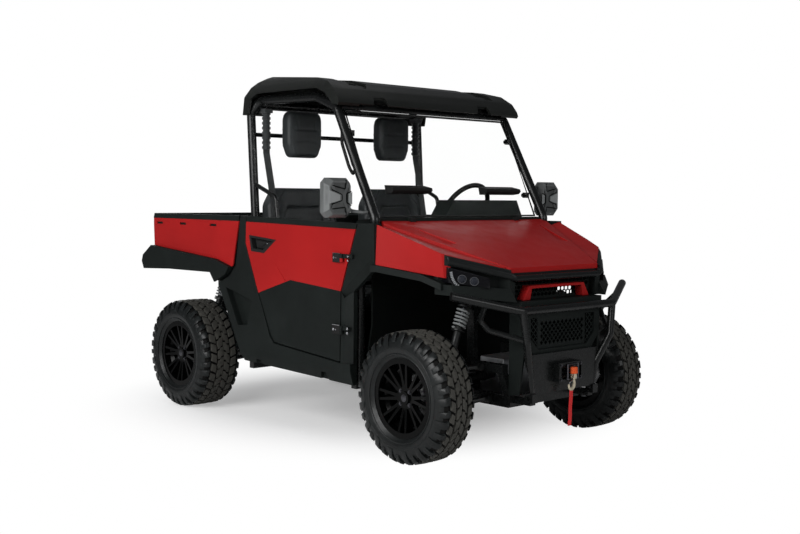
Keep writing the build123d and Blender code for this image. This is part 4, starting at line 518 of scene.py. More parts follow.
def tyre_shape(half, radius):
    """The carcass's (x, r) outline from bead to bead, without lugs."""
    root = radius - LUG_DEPTH
    return [(half - 0.031, BEAD_R), (half - 0.0245, 0.202), (half - 0.012, 0.2125), (half - 0.004, 0.228),
            (half - 0.0015, 0.246), (half - 0.0025, 0.262), (half - 0.008, 0.282), (half - 0.018, 0.299),
            (half - 0.034, root - 0.002), (half - 0.060, root)]


def lug(mesh, stations):
    """One tread block: stations of (x, outer r, inner r, first angle, last angle)."""
    rings = []
    last = len(stations) - 1
    for index, (x, outer, inner, first, final) in enumerate(stations):
        edge = LUG_CHAMFER / outer
        drop = LUG_CHAMFER if index in (0, last) else 0.0
        polar = ((inner, first), (outer - LUG_CHAMFER - drop, first), (outer - drop, first + edge),
                 (outer - drop, final - edge), (outer - LUG_CHAMFER - drop, final), (inner, final))
        rings.append([(x, r * math.sin(a), r * math.cos(a)) for r, a in polar])
    mesh.tube_of(rings)


def spun(outline, steps):
    """Rings of an (x, r) outline turned about a wheel's axis."""
    return [[(x, r * math.sin(a), r * math.cos(a)) for x, r in outline]
            for a in (2 * math.pi * index / steps for index in range(steps))]


def tyre_mesh(centre, width, radius):
    """A tyre with tread blocks, shoulder lugs and rim guard."""
    half = width / 2
    shape = tyre_shape(half, radius)
    lining = ((half - 0.045, BEAD_R), (half - 0.024, 0.235), (half - 0.03, radius - 0.035))
    inside = [(-x, r) for x, r in lining]
    outline = [*shape, *((-x, r) for x, r in reversed(shape)), *inside,
               *((-x, r) for x, r in reversed(inside))]
    mesh = Mesher()
    mesh.slot = SHADED_SIDEWALL
    mesh.tube_of(spun(outline, CARCASS_STEPS), closed=True)
    # faces between the lugs get the near-black groove rubber, painted shade in the grooves
    for index, face in enumerate(mesh.faces):
        if min(math.hypot(*mesh.verts[i][1:]) for i in face) > radius - 0.040:
            mesh.slots[index] = ROOT_SHADE
    pitch = 2 * math.pi / PITCHES
    gap = GROOVE / radius
    lean = LEAN * pitch
    inner_edge, middle_edge = (half * share for share in ROW_EDGES)

    def top(x):
        return radius - CROWN * (x / half) ** 2

    def root(x):
        return radius - LUG_DEPTH - 0.003 - CROWN * (x / half) ** 2

    def block(side, base, stretch, xs, leans):
        lug(mesh, [(side * x, top(x), root(x), base + lean * share + gap / 2,
                    base + lean * share + stretch - gap / 2) for x, share in zip(xs, leans)])

    for index in range(PITCHES):
        for side in (1, -1):
            offset = index * pitch + (0.5 * pitch if side < 0 else 0.0)
            mesh.slot = LIT_DUSTY_TREAD
            # centre row, with a stepped outer edge
            block(side, offset, pitch,
                  (0.003, inner_edge * 0.45, inner_edge * 0.55, inner_edge - GROOVE / 2),
                  (1.0, 0.4, -0.8, -1.3))
            # intermediate row, shifted half a pitch
            block(side, offset + 0.5 * pitch, pitch * 0.96,
                  (inner_edge + GROOVE / 2, (inner_edge + middle_edge) / 2, middle_edge - GROOVE / 2),
                  (-0.6, 0.2, 0.9))
            # shoulder lugs run down the sidewall, long and short in turn, in the sidewall's darker painted
            # shade
            mesh.slot = SHADED_SIDEWALL
            long_one = (index + (side < 0)) % 2 == 0
            path = [(middle_edge + GROOVE / 2, top(middle_edge), root(middle_edge)),
                    (half - 0.036, radius - 0.003, radius - 0.019),
                    (half - 0.018, radius - 0.013, radius - 0.034),
                    (half - 0.005, 0.292, 0.278)]
            if long_one:
                path.append((half + 0.0005, 0.262, 0.258))
            lug(mesh, [(side * x, outer, inner, offset + lean * share + gap / 2,
                        offset + lean * share + pitch * LUG_WIDTHS[long_one])
                       for (x, outer, inner), share in zip(path, SHOULDER_LEANS)])
    for side in (1, -1):
        for inset, r, size in SIDE_RINGS:
            ring = [(side * (half - inset + size * 0.8 * math.cos(t)), r + size * math.sin(t))
                    for t in (2 * math.pi * k / 6 for k in range(6))]
            mesh.tube_of(spun(ring[::side], RING_STEPS), closed=True)
    mesh.verts = [tuple(Vector(v) + centre) for v in mesh.verts]
    return mesh


class UTV_OT_tyres(bpy.types.Operator):
    """Makes the four tyres with their tread"""

    bl_idname = "utv.tyres"
    bl_label = "Tyres"

    def execute(self, context):
        ready_materials()
        for axle in AXLES:
            for side, _ in SIDES:
                node = f"tyre_{axle}_{side}"
                low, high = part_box(node)
                centre = (low + high) / 2
                mesh = tyre_mesh(centre, high.x - low.x, centre.z)
                tyre = mesh.piece(f"tread_{axle}_{side}", f"wheel_{axle}_{side}", "tyre", "tyre_rubber",
                                  "tyre_root_shade", "tyre_side_shade", angle=35)
                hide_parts(node)
        return {"FINISHED"}


# ------------------------------------------------------------------ CAD nodes
FINISHES = (
    # nodes, finish, record's slot, edge rounding in metres
    (("hood", "fender_panels", "grille_bezel"), "panel_red", "body_red", 0.004),
    (("door_skin_left", "door_skin_right", "bed_sides"), "panel_red", "body_red", 0.0018),
    (("door_left", "door_right", "side_sills", "hinge_pillars", "bed_tub", "tailgate"),
     "grained_black", "body_black", 0.004),
    (("front_fascia",), "grained_black", "body_black", 0.003),
    (("windshield_vents",), "grained_black", "body_black", 0.002),
    (("mirrors",), "mirror_grey", "body_black", 0.003),
    (("grille_mesh",), "grained_black", "body_black", 0.0),
    (("roof",), "roof_black", "body_black", 0.006),
    (("dashboard", "steering_wheel"), "dash_black", "body_black", 0.004),
    # the cab tub takes the darker plastic as painted shade
    (("cab_tub",), "painted_shade_black", "body_black", 0.004),
    (("roll_cage",), "frame_coat", "frame_black", 0.0),
    (("front_bumper", "chassis_frame"), "frame_coat", "frame_black", 0.0025),
    (("knuckle_left", "knuckle_right", "suspension_arms", "steering_rack"),
     "gear_coat", "running_gear", 0.002),
    (("rim_front_left", "rim_front_right", "rim_rear_left", "rim_rear_right"), "rim_gloss", "rim", 0.0016),
    (("drive_units",), "cast_alloy", "motor", 0.008),
    (("battery_pack",), "grained_black", "battery", 0.006),
    (("windshield",), "window_clear", "window", 0.0),
    (("headlamps",), "gloss_black", "lamp", 0.002),
    (("tail_lamps",), "lens_red", "tail_lamp", 0.002),
    (("winch",), "frame_coat", "winch_metal", 0.002),
    (("seat_belts",), "belt_black", "webbing", 0.0),
)


class UTV_OT_finishes(bpy.types.Operator):
    """Gives every fixed-shape node its finish and rounded edges"""

    bl_idname = "utv.finishes"
    bl_label = "Finishes"

    def execute(self, context):
        ready_materials()
        for nodes, finish, slot, rounding in FINISHES:
            for node in nodes:
                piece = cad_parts[node]
                paint(piece, finish)
                if rounding:
                    soften(piece, rounding)
                else:
                    smooth(piece, CAD_SHARP)
        return {"FINISHED"}


# ------------------------------------------------------------------ padded pieces
SEAT_MIDDLE_X = 0.3675
SEAT_W, CUSHION_L, CUSHION_H = 0.505, 0.463, 0.128
CUSHION_MIDDLE_Y, CUSHION_FOOT_Z = 0.1035, 0.650
BACK_T, BACK_H = 0.134, 0.578
BACK_FRONT_Y, BACK_REAR_Y = 0.222, 0.358      # front face at its foot, rear face
BACK_RAKE = 0.070             # how far the front face leans back
BACK_MIDDLE_Z = 1.069
PAD_W, PAD_T, PAD_H = 0.250, 0.084, 0.268
PAD_MIDDLE = (0.357, 0.310, 1.672)
PAD_CELL = 0.0070
WRINKLE = 0.0022
WRINKLES = 9                  # a metre
SEAM_SINK, PAD_SEAM_SINK = 0.007, 0.005
CUSHION_SIDE_X, BACK_SIDE_X = (0.13, 0.19), (0.145, 0.205)   # where the raised sides start and are full
CUSHION_RISE, BACK_RISE = (0.009, 0.005), (0.010, 0.006)     # of the sides and of the crown between them
CUSHION_FALL, CUSHION_BULGE = 0.026, 0.004
PAD_RISE = 0.007
CUSHION_SEAMS = (              # (x, y) lines from the cushion's middle
    ((-0.150, -0.232), (-0.130, -0.060), (-0.150, 0.232)),
    ((0.150, -0.232), (0.130, -0.060), (0.150, 0.232)),
    ((-0.134, -0.090), (0.134, -0.090)),
    ((-0.136, 0.060), (0.136, 0.060)),
)
BACK_SEAMS = (                 # (x, z) lines from the back's middle
    ((-0.150, -0.289), (-0.150, 0.110), (-0.112, 0.178), (0.112, 0.178), (0.150, 0.110), (0.150, -0.289)),
    ((-0.150, -0.060), (0.150, -0.060)),
    ((-0.205, -0.289), (-0.205, 0.190), (-0.150, 0.289)),
    ((0.205, -0.289), (0.205, 0.190), (0.150, 0.289)),
)
PAD_SEAMS = (                  # (x, z) lines from the headrest's middle
    ((-0.125, 0.030), (0.125, 0.030)),
    ((-0.125, -0.070), (-0.060, -0.040), (0.060, -0.040), (0.125, -0.070)),
    ((-0.075, 0.134), (-0.060, 0.030)),
    ((0.075, 0.134), (0.060, 0.030)),
)


def ease(low, high, value):
    """Runs smoothly from nothing to one between two values."""
    t = min(1.0, max(0.0, (value - low) / (high - low)))
    return t * t * (3 - 2 * t)


def seam_depth(u, v, seams, width=0.0055):
    """How deep the seams draw the cover in at a spot, from nothing to one."""
    nearest = 1.0
    for line in seams:
        for (u0, v0), (u1, v1) in zip(line, line[1:]):
            du, dv = u1 - u0, v1 - v0
            t = min(1.0, max(0.0, ((u - u0) * du + (v - v0) * dv) / (du * du + dv * dv)))
            nearest = min(nearest, math.hypot(u - u0 - t * du, v - v0 - t * dv))
    return math.exp(-(nearest / width) ** 2)


def cushion_point(spot, out):
    """A cushion's cover: sides raised, middle crowned, top falling to the back."""
    x, y, z = spot
    share = z / CUSHION_H + 0.5
    top = max(0.0, out.z)
    sides = ease(*CUSHION_SIDE_X, abs(x))
    crown = (1 - sides) * (1 - (2 * y / CUSHION_L) ** 2)
    rise = CUSHION_RISE[0] * sides + CUSHION_RISE[1] * crown - SEAM_SINK * seam_depth(x, y, CUSHION_SEAMS)
    rise += WRINKLE * noise.noise(Vector((x * WRINKLES, y * WRINKLES, 3.1)))
    fall = CUSHION_FALL * (y / CUSHION_L + 0.5)
    bulge = CUSHION_BULGE * abs(out.x) * (1 - (2 * z / CUSHION_H) ** 2)
    return (SEAT_MIDDLE_X + x + math.copysign(bulge, x), CUSHION_MIDDLE_Y + y,
            CUSHION_FOOT_Z + share * (CUSHION_H - fall - 0.004) + top * rise)


def back_point(spot, out):
    """A seat back's cover: narrower at the top, its sides forward of the middle."""
    x, y, z = spot
    share = z / BACK_H + 0.5
    front = max(0.0, -out.y)
    sides = ease(*BACK_SIDE_X, abs(x)) * (1 - ease(0.86, 1.0, share))
    crown = (1 - ease(0.10, 0.15, abs(x))) * math.sin(math.pi * min(1.0, share * 1.1))
    rise = BACK_RISE[0] * sides + BACK_RISE[1] * crown - SEAM_SINK * seam_depth(x, z, BACK_SEAMS)
    rise += WRINKLE * noise.noise(Vector((x * WRINKLES, 7.7, z * WRINKLES)))
    near = BACK_FRONT_Y + BACK_RAKE * share
    narrow = 1 - 0.20 * ease(0.80, 1.0, share) - 0.04 * (1 - ease(0.0, 0.4, share))
    return (SEAT_MIDDLE_X + x * narrow, near + (y / BACK_T + 0.5) * (BACK_REAR_Y - near) - front * rise,
            BACK_MIDDLE_Z + z)


def pad_point(spot, out):
    """A headrest's cover: lower corners cut away, a soft front."""
    x, y, z = spot
    share = z / PAD_H + 0.5
    front = abs(out.y)
    crown = (1 - (2 * x / PAD_W) ** 2) * math.sin(math.pi * share)
    rise = PAD_RISE * crown - PAD_SEAM_SINK * seam_depth(x, z, PAD_SEAMS, width=0.005)
    narrow = 1 - 0.24 * (1 - ease(-0.05, 0.34, share)) - 0.10 * ease(0.80, 1.0, share)
    return (PAD_MIDDLE[0] + x * narrow, PAD_MIDDLE[1] + y + math.copysign(front * rise, y),
            PAD_MIDDLE[2] + z)


def stuffed(mesh, size, place, corner, inset):
    """A padded block: its round-edged lattice put in place point by point."""
    counts = [max(4, round(length / PAD_CELL)) for length in size]
    half = [length / 2 for length in size]
    number = {}
    points = []

    def at(spot):
        if spot not in number:
            p = Vector([2 * h * i / n - h for h, i, n in zip(half, spot, counts)])
            inner = Vector([min(h - corner, max(corner - h, c)) for c, h in zip(p, half)])
            out = (p - inner).normalized()
            number[spot] = len(points)
            points.append(place(inner + out * corner, out))
        return number[spot]

    faces = ([], [])
    for axis in range(3):
        first, second = [k for k in range(3) if k != axis]
        for end in (0, counts[axis]):
            for i in range(counts[first]):
                for j in range(counts[second]):
                    face = []
                    for di, dj in ((0, 0), (1, 0), (1, 1), (0, 1)):
                        spot = [0, 0, 0]
                        spot[axis], spot[first], spot[second] = end, i + di, j + dj
                        face.append(at(tuple(spot)))
                    middle = abs((i + 0.5) / counts[first] - 0.5) * size[first] < inset and axis != 0
                    faces[1 if middle else 0].append(face)
    for slot in (0, 1):
        mesh.slot = slot
        mesh.add(points, faces[slot])


def stuffed_pair(name, size, place, corner, inset):
    """The same padded block on both sides, with a middle strip of its own finish."""
    mesh = Mesher()
    mesh.both(lambda: stuffed(mesh, size, place, corner, inset))
    return mesh.piece(name, "chassis", "seat_cover", "seat_vinyl", "seat_centre", angle=60)


class UTV_OT_seats(bpy.types.Operator):
    """Pads the seat cushions and backs"""

    bl_idname = "utv.seats"
    bl_label = "Seats"

    def execute(self, context):
        ready_materials()
        piece = stuffed_pair("cushion_pads", (SEAT_W, CUSHION_L, CUSHION_H), cushion_point,
                             corner=0.040, inset=0.132)
        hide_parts("seat_cushions")
        piece = stuffed_pair("back_pads", (SEAT_W, BACK_T, BACK_H), back_point,
                             corner=0.034, inset=0.145)
        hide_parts("seat_backs")
        return {"FINISHED"}


STAY_BLOCKS = (                # the headrest's stay and its two cheeks, from corner to corner
    ((0.330, 0.345, 1.635), (0.384, 0.3705, 1.695)),
    ((0.319, 0.340, 1.625), (0.325, 0.369, 1.705)),
    ((0.389, 0.340, 1.625), (0.395, 0.369, 1.705)),
)


class UTV_OT_headrests(bpy.types.Operator):
    """Pads the headrests and bolts them to their bar"""

    bl_idname = "utv.headrests"
    bl_label = "Headrests"

    def execute(self, context):
        ready_materials()
        piece = stuffed_pair("headrest_pads", (PAD_W, PAD_T, PAD_H), pad_point,
                             corner=0.026, inset=0.070)
        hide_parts("headrests")
        stays = Mesher()
        stays.both(lambda: stays.boxes(STAY_BLOCKS))
        stays.piece("headrest_stays", "chassis", "frame_black", "frame_coat", rounding=0.002)
        return {"FINISHED"}


# ------------------------------------------------------------------ running gear
SHOCK_LOW, SHOCK_TOP = (0.486, 0.492), (0.378, 0.790)      # (x, z) of the eyes
SHOCK_Y = 1.0675
COILS = 5.5
COIL_STEPS = 26               # points in one turn
SPRING_SPAN = (0.540, 0.872)         # shares of the way from the lower eye
SPRING_R, WIRE_R = 0.0300, 0.0058
DAMPER_END = ((0.012, 0.014), (0.030, 0.020))      # (metres from the lower eye, radius)
DAMPER_PARTS = (               # (share of the way from the lower eye, radius): tube, lower and upper seat
    ((0.58, 0.020), (0.60, 0.017)),
    ((0.492, 0.021), (0.500, 0.035), (0.518, 0.035), (0.526, 0.024)),
    ((0.885, 0.020), (0.895, 0.034), (0.920, 0.034), (0.950, 0.018), (0.985, 0.013)),
)
PISTON_SPAN, PISTON_R = (0.58, 0.90), 0.0085
EYE_HALF = 0.016
EYE_PROFILE = ((0, 0.0155), (0.002, 0.017), (0.030, 0.017), (0.032, 0.0155))


def spiral(low, run):
    """The spring's centre line, its turns a little closer together halfway."""
    across = Vector((0, 1, 0))
    out = across.cross(run.normalized())
    steps = int(COILS * COIL_STEPS)
    points = []
    for step in range(steps + 1):
        share = step / steps
        turn = 2 * math.pi * COILS * share
        flat = share + 0.012 * math.sin(2 * math.pi * share)
        points.append(low + run * (SPRING_SPAN[0] + (SPRING_SPAN[1] - SPRING_SPAN[0]) * flat)
                      + (out * math.cos(turn) + across * math.sin(turn)) * SPRING_R)
    return points


class UTV_OT_shocks(bpy.types.Operator):
    """Coils the springs round their dampers"""

    bl_idname = "utv.shocks"
    bl_label = "Shock absorbers"

    def execute(self, context):
        ready_materials()
        mesh = Mesher()

        def shock(y):
            low = Vector((SHOCK_LOW[0], y, SHOCK_LOW[1]))
            top = Vector((SHOCK_TOP[0], y, SHOCK_TOP[1]))
            run = top - low
            mesh.slot = 1
            tube, *seats = [[(run.length * share, r) for share, r in part] for part in DAMPER_PARTS]
            for profile in ([*DAMPER_END, *tube], *seats):
                mesh.turned(low, run, profile)
            for eye in (low, top):
                mesh.turned(eye - Vector((0, EYE_HALF, 0)), (0, 1, 0), EYE_PROFILE)
            mesh.slot = 2
            mesh.rod(low + run * PISTON_SPAN[0], low + run * PISTON_SPAN[1], PISTON_R)
            for eye in (low, top):
                mesh.bolt(eye - Vector((0, EYE_HALF, 0)), (0, -1, 0), radius=0.0075)
            mesh.slot = 0
            mesh.sweep(spiral(low, run), WIRE_R)

        for y in (-SHOCK_Y, SHOCK_Y):
            mesh.both(lambda: shock(y))
        piece = mesh.piece("coilovers", "chassis", "shock", "spring_grey", "gear_coat", "dark_chrome")
        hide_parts("shock_absorbers")
        return {"FINISHED"}


AXLE_Y = 1.0155
SHAFT_IN, SHAFT_OUT = (0.1203, 0.400), (0.555, 0.336)       # (x, z) of a half shaft's ends
FOLDS, FOLD = 4, 0.0045       # a boot's folds and their depth
INNER_BOOT = (0.060, 0.108, 0.035, 0.022)      # start, end, and the radius at each
OUTER_BOOT = (0.358, 0.396, 0.019, 0.029)
INNER_CUP = ((0.0, 0.030), (0.004, 0.034), (0.052, 0.034), (0.056, 0.031))     # (distance, radius)
BAR = ((0.112, 0.0155), (0.120, 0.0155), (0.121, 0.0128), (0.345, 0.0128), (0.346, 0.0155), (0.354, 0.0155))
OUTER_CUP_START, OUTER_CUP_R = 0.402, 0.0295


def bellows(start, end, first, last):
    """A boot's (distance, radius) outline with folds."""
    out = []
    for index in range(2 * FOLDS + 1):
        share = index / (2 * FOLDS)
        radius = first + (last - first) * share
        out.append((start + (end - start) * share, radius + (0.0 if index % 2 else -FOLD)))
    return out


class UTV_OT_shafts(bpy.types.Operator):
    """Folds the boots of the half shafts"""

    bl_idname = "utv.shafts"
    bl_label = "Half shafts"

    def execute(self, context):
        ready_materials()
        mesh = Mesher()

        def shaft(y):
            low = Vector((SHAFT_IN[0], y, SHAFT_IN[1]))
            run = Vector((SHAFT_OUT[0], y, SHAFT_OUT[1])) - low
            length = run.length
            mesh.turned(low, run, [*INNER_CUP, *bellows(*INNER_BOOT), *BAR, *bellows(*OUTER_BOOT),
                                   (OUTER_CUP_START, OUTER_CUP_R), (length - 0.003, OUTER_CUP_R),
                                   (length, 0.026)])

        for y in (-AXLE_Y, AXLE_Y):
            mesh.both(lambda: shaft(y))
        piece = mesh.piece("booted_shafts", "chassis", "running_gear", "rubber_black", angle=30)
        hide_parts("half_shafts")
        return {"FINISHED"}


HUB_FACE_X = 0.745
NUTS = 4
NUT_CIRCLE, NUT_R = 0.0445, 0.0072
HUB_CAP = ((0, 0.031), (0.007, 0.030), (0.010, 0.026), (0.0095, 0.020), (0.012, 0.012), (0.012, 0.002))
DISC_X = 0.664
DISC_R = 0.108
DISC_PROFILE = ((0, 0.036), (0, DISC_R), (0.005, DISC_R), (0.005, 0.052), (0.020, 0.048), (0.0225, 0.036),
                (0.0225, 0.024), (0, 0.024))
CALIPER_SIDES = ((0.636, 0.6615), (0.6715, 0.684))     # x limits of both halves
CALIPER_OUTLINE = ((0.058, 0.040), (0.102, 0.052), (0.112, 0.000), (0.100, -0.040), (0.060, -0.034))
CALIPER_BLOCKS = (             # x limits, then limits behind the axle and above it: bridge and bracket
    ((0.640, 0.682), (0.110, 0.120), (-0.022, 0.026)),
    ((0.6205, 0.636), (0.0, 0.075), (-0.012, 0.014)),
)
WHEEL_Z = 0.330


class UTV_OT_wheel_details(bpy.types.Operator):
    """Adds nuts, hub caps, brake discs and calipers"""

    bl_idname = "utv.wheel_details"
    bl_label = "Wheel details"

    def execute(self, context):
        ready_materials()
        for axle, y in (("front", -AXLE_Y), ("rear", AXLE_Y)):
            for side, sign in SIDES:
                body = f"wheel_{axle}_{side}"
                nuts = Mesher(sign)
                for index in range(NUTS):
                    a = 2 * math.pi * (index + 0.5) / NUTS
                    nuts.bolt((HUB_FACE_X - 0.001, y + NUT_CIRCLE * math.cos(a),
                               WHEEL_Z + NUT_CIRCLE * math.sin(a)), (1, 0, 0), NUT_R)
                nuts.turned((HUB_FACE_X - 0.001, y, WHEEL_Z), (1, 0, 0), HUB_CAP, sides=36)
                nuts.piece(f"wheel_nuts_{axle}_{side}", body, "rim", "dark_chrome", angle=30)
                disc = Mesher(sign)
                disc.turned((DISC_X, y, WHEEL_Z), (1, 0, 0), DISC_PROFILE, sides=48)
                disc.piece(f"brake_disc_{axle}_{side}", body, "running_gear", "bright_steel", angle=30)
                caliper = Mesher(sign)
                back = 1 if axle == "front" else -1
                for x0, x1 in CALIPER_SIDES:
                    caliper.plate([(x0, y + back * c, WHEEL_Z + d) for c, d in CALIPER_OUTLINE],
                                  (x1 - x0, 0, 0))
                for (x0, x1), reach, (z0, z1) in CALIPER_BLOCKS:
                    y0, y1 = sorted(back * c for c in reach)
                    caliper.box((x0, y0 + y, WHEEL_Z + z0), (x1, y1 + y, WHEEL_Z + z1))
                holder = f"knuckle_{side}" if axle == "front" else "chassis"
                caliper.piece(f"caliper_{axle}_{side}", holder, "running_gear", "gear_coat",
                              rounding=0.0025)
        return {"FINISHED"}


# ------------------------------------------------------------------ front
LAMP_ORIGIN = Vector((0.450, -1.300, 0.0))
LAMP_ALONG = Vector((0.777, 0.629, 0.0))
LAMP_OUT = Vector((0.629, -0.777, 0.0))
LAMP_OUTLINE = ((0.006, 0.872), (0.006, 0.921), (0.060, 0.936), (0.205, 0.974), (0.204, 0.922),
                (0.176, 0.880), (0.130, 0.868))
LAMP_RIM_R = 0.0022
PROJECTORS = ((0.1379, 0.918), (0.0782, 0.908))
PROJECTOR_RING = ((0, 0.0225), (0.0045, 0.0215), (0.0045, 0.0195), (0.001, 0.0175), (0.001, 0.001))
PROJECTOR_LENS = ((0.0012, 0.0172), (0.0042, 0.0150), (0.0066, 0.0100), (0.0074, 0.0045), (0.0076, 0.0005))
DAY_LINE = ((0.1935, 0.955), (0.1865, 0.924), (0.1700, 0.895), (0.1530, 0.884))
DAY_PITCH = 0.0085            # one light of the day line to the next
DAY_HALF = (0.0030, 0.0062)   # half of a light's length along the line and across it
DAY_DEPTH = 0.0032


def lamp_point(along, height, out):
    """A point on the left headlamp, so far outward from its face."""
    return LAMP_ORIGIN + LAMP_ALONG * along + LAMP_OUT * out + Vector((0, 0, height))


class UTV_OT_headlamps(bpy.types.Operator):
    """Fits rims, lenses and day lights to the headlamps"""

    bl_idname = "utv.headlamps"
    bl_label = "Headlamps"

    def execute(self, context):
        ready_materials()
        mesh = Mesher()

        def lamp():
            mesh.slot = 0
            mesh.rim([lamp_point(along, z, 0.0) for along, z in LAMP_OUTLINE], LAMP_RIM_R)
            for along, height in PROJECTORS:
                spot = lamp_point(along, height, -0.001)
                mesh.slot = 1
                mesh.turned(spot, LAMP_OUT, PROJECTOR_RING, sides=32)
                mesh.slot = 2
                mesh.turned(spot, LAMP_OUT, PROJECTOR_LENS, sides=32)
            mesh.slot = 3
            line = [Vector((along, z, 0)) for along, z in DAY_LINE]
            for start, end in zip(line, line[1:]):
                count = max(1, round((end - start).length / DAY_PITCH))
                run = (end - start).normalized()
                across = Vector((-run.y, run.x, 0))
                for index in range(count):
                    middle = start + (end - start) * (index + 0.5) / count
                    corners = [middle + run * a * DAY_HALF[0] + across * b * DAY_HALF[1]
                               for a, b in ((-1, -1), (1, -1), (1, 1), (-1, 1))]
                    mesh.plate([lamp_point(c.x, c.y, 0.0) for c in corners], LAMP_OUT * DAY_DEPTH)

        mesh.both(lamp)
        mesh.piece("lamp_insides", "chassis", "lamp", "gloss_black", "chrome", "lens_dark", "lamp_white")
        return {"FINISHED"}


FAIRLEAD_Y = -1.450
UPRIGHT_ROLLERS = ((-0.034, 0.046), (0.402, 0.480), 0.0058)      # x of each, z limits, radius
LEVEL_ROLLERS = ((0.402, 0.478), (-0.040, 0.052), 0.0034)        # z of each, x limits, radius
FAIRLEAD_BOLTS = [(x, FAIRLEAD_Y, z) for x in (-0.078, 0.078) for z in (0.404, 0.476)]
HOOD_AXIS = Vector((0, -0.700, 1.196))
SLEEVE_X = (0.3958, 0.4242)
SLEEVE_PROFILE = ((0, 0.0078), (0.0002, 0.0084), (0.0282, 0.0084), (0.0284, 0.0078))
SLEEVE_FOOT = ((SLEEVE_X[0], -0.0165, -0.014), (SLEEVE_X[1], -0.004, 0.0042))      # from the axis
GRILLE_WING_Y = -1.3841
GRILLE_WING = ((0.190, 0.562), (0.190, 0.720), (0.250, 0.720), (0.250, 0.623), (0.192, 0.562))
WING_BACKING = 0.0006         # thickness of the dark plate behind the wing's bars, painted shade of the lattice's openings
WING_BAR, WING_BAR_HALF = 0.0030, 0.0026      # thickness and half width of the bars
WING_PITCH, WING_START = 0.032, 0.004
BROW_RINGS = (                 # x, then the (y, z) outline there
    (0.330, ((-1.3700, 0.935), (-1.3775, 0.920), (-1.368, 0.904), (-1.340, 0.900), (-1.340, 0.9365))),
    (0.362, ((-1.3600, 0.952), (-1.3665, 0.934), (-1.358, 0.917), (-1.335, 0.915), (-1.335, 0.9580))),
    (0.606, ((-1.1600, 1.028), (-1.1670, 1.008), (-1.158, 0.986), (-1.140, 0.982), (-1.140, 1.0320))),
)
RADIATORS = (                  # x and z limits and front face of each cooler behind a grille; the faces are pure black as painted shade of the hollow
    (-0.310, 0.310, 0.868, 0.924, -1.286),
    (-0.310, 0.075, 0.812, 0.868, -1.286),
    (0.200, 0.310, 0.812, 0.868, -1.286),
    (-0.185, 0.185, 0.566, 0.716, -1.366),
)
RADIATOR_PITCH = 0.012        # one fin to the next
HOOD_SEAL = ((-0.330, -1.336, 0.9372), (0.330, -1.322, 0.9447))      # the strip's corners
STOPPER = Vector((0.006, -1.462, 0.430))
HOOK_LINE = ((0.006, 0.410), (0.0100, 0.396), (0.0115, 0.380), (0.0075, 0.364), (-0.004, 0.3535),
             (-0.0145, 0.3515), (-0.0250, 0.3570), (-0.0310, 0.3680), (-0.0315, 0.3790))
HOOK_RADII = (0.0052, 0.0066, 0.0078, 0.0086, 0.0088, 0.0084, 0.0072, 0.0058, 0.0040)
HOOK_EARS = (-0.0125, 0.0085)        # y of both ears' front faces, from the stopper
HOOK_EAR = ((-0.009, 0.404), (0.009, 0.404), (0.010, 0.424), (0.006, 0.431), (-0.006, 0.431),
            (-0.010, 0.424))
HOOK_EAR_THICK = 0.004
HOOK_PIN_Z, HOOK_PIN_HALF, HOOK_PIN_R = 0.412, 0.0150, 0.0036
CATCH_LINE = ((0.004, 0.398), (-0.014, 0.392), (-0.0285, 0.3815))
CATCH_R = 0.0019
STOPPER_PROFILE = ((0, 0.012), (0.001, 0.0185), (0.004, 0.0202), (0.014, 0.0202), (0.016, 0.0186),
                   (0.018, 0.0186), (0.020, 0.0202), (0.030, 0.0198), (0.0335, 0.0170), (0.034, 0.008))


def clipped(outline, offset, slant, half):
    """A slanted bar in a convex outline of (x, z), or nothing where it misses it."""
    bar = [(x, offset + slant * x + lift) for x, lift in ((-1, -half), (2, -half), (2, half), (-1, half))]
    middle = Vector((sum(x for x, z in outline), sum(z for x, z in outline))) / len(outline)
    for start, end in zip(outline, outline[1:] + outline[:1]):
        start, end = Vector(start), Vector(end)
        out = Vector((end.y - start.y, start.x - end.x))
        if out.dot(middle - start) > 0:
            out = -out
        kept = []
        for a, b in zip(bar, bar[1:] + bar[:1]):
            a, b = Vector(a), Vector(b)
            da, db = out.dot(a - start), out.dot(b - start)
            if da <= 0:
                kept.append(tuple(a))
            if da * db < 0:
                kept.append(tuple(a + (b - a) * (da / (da - db))))
        bar = kept
        if not bar:
            return None
    return bar


class UTV_OT_winch_hook(bpy.types.Operator):
    """Shapes the winch's hook, its catch and the stopper"""

    bl_idname = "utv.winch_hook"
    bl_label = "Winch hook"

    def execute(self, context):
        ready_materials()
        mesh = Mesher()
        mesh.sweep([(x, STOPPER.y, z) for x, z in HOOK_LINE], HOOK_RADII, sides=14)
        for y in HOOK_EARS:
            mesh.plate([(STOPPER.x + x, STOPPER.y + y, z) for x, z in HOOK_EAR], (0, HOOK_EAR_THICK, 0))
        mesh.slot = 1
        mesh.rod((STOPPER.x, STOPPER.y - HOOK_PIN_HALF, HOOK_PIN_Z),
                 (STOPPER.x, STOPPER.y + HOOK_PIN_HALF, HOOK_PIN_Z), HOOK_PIN_R)
        mesh.sweep([(x, STOPPER.y, z) for x, z in CATCH_LINE], CATCH_R, sides=8)
        mesh.slot = 2
        mesh.turned(STOPPER, (0, 0, 1), STOPPER_PROFILE, sides=32)
        piece = mesh.piece("forged_hook", "chassis", "hook_metal", "hook_white", "chrome", "stopper_orange")
        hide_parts("winch_hook")
        return {"FINISHED"}


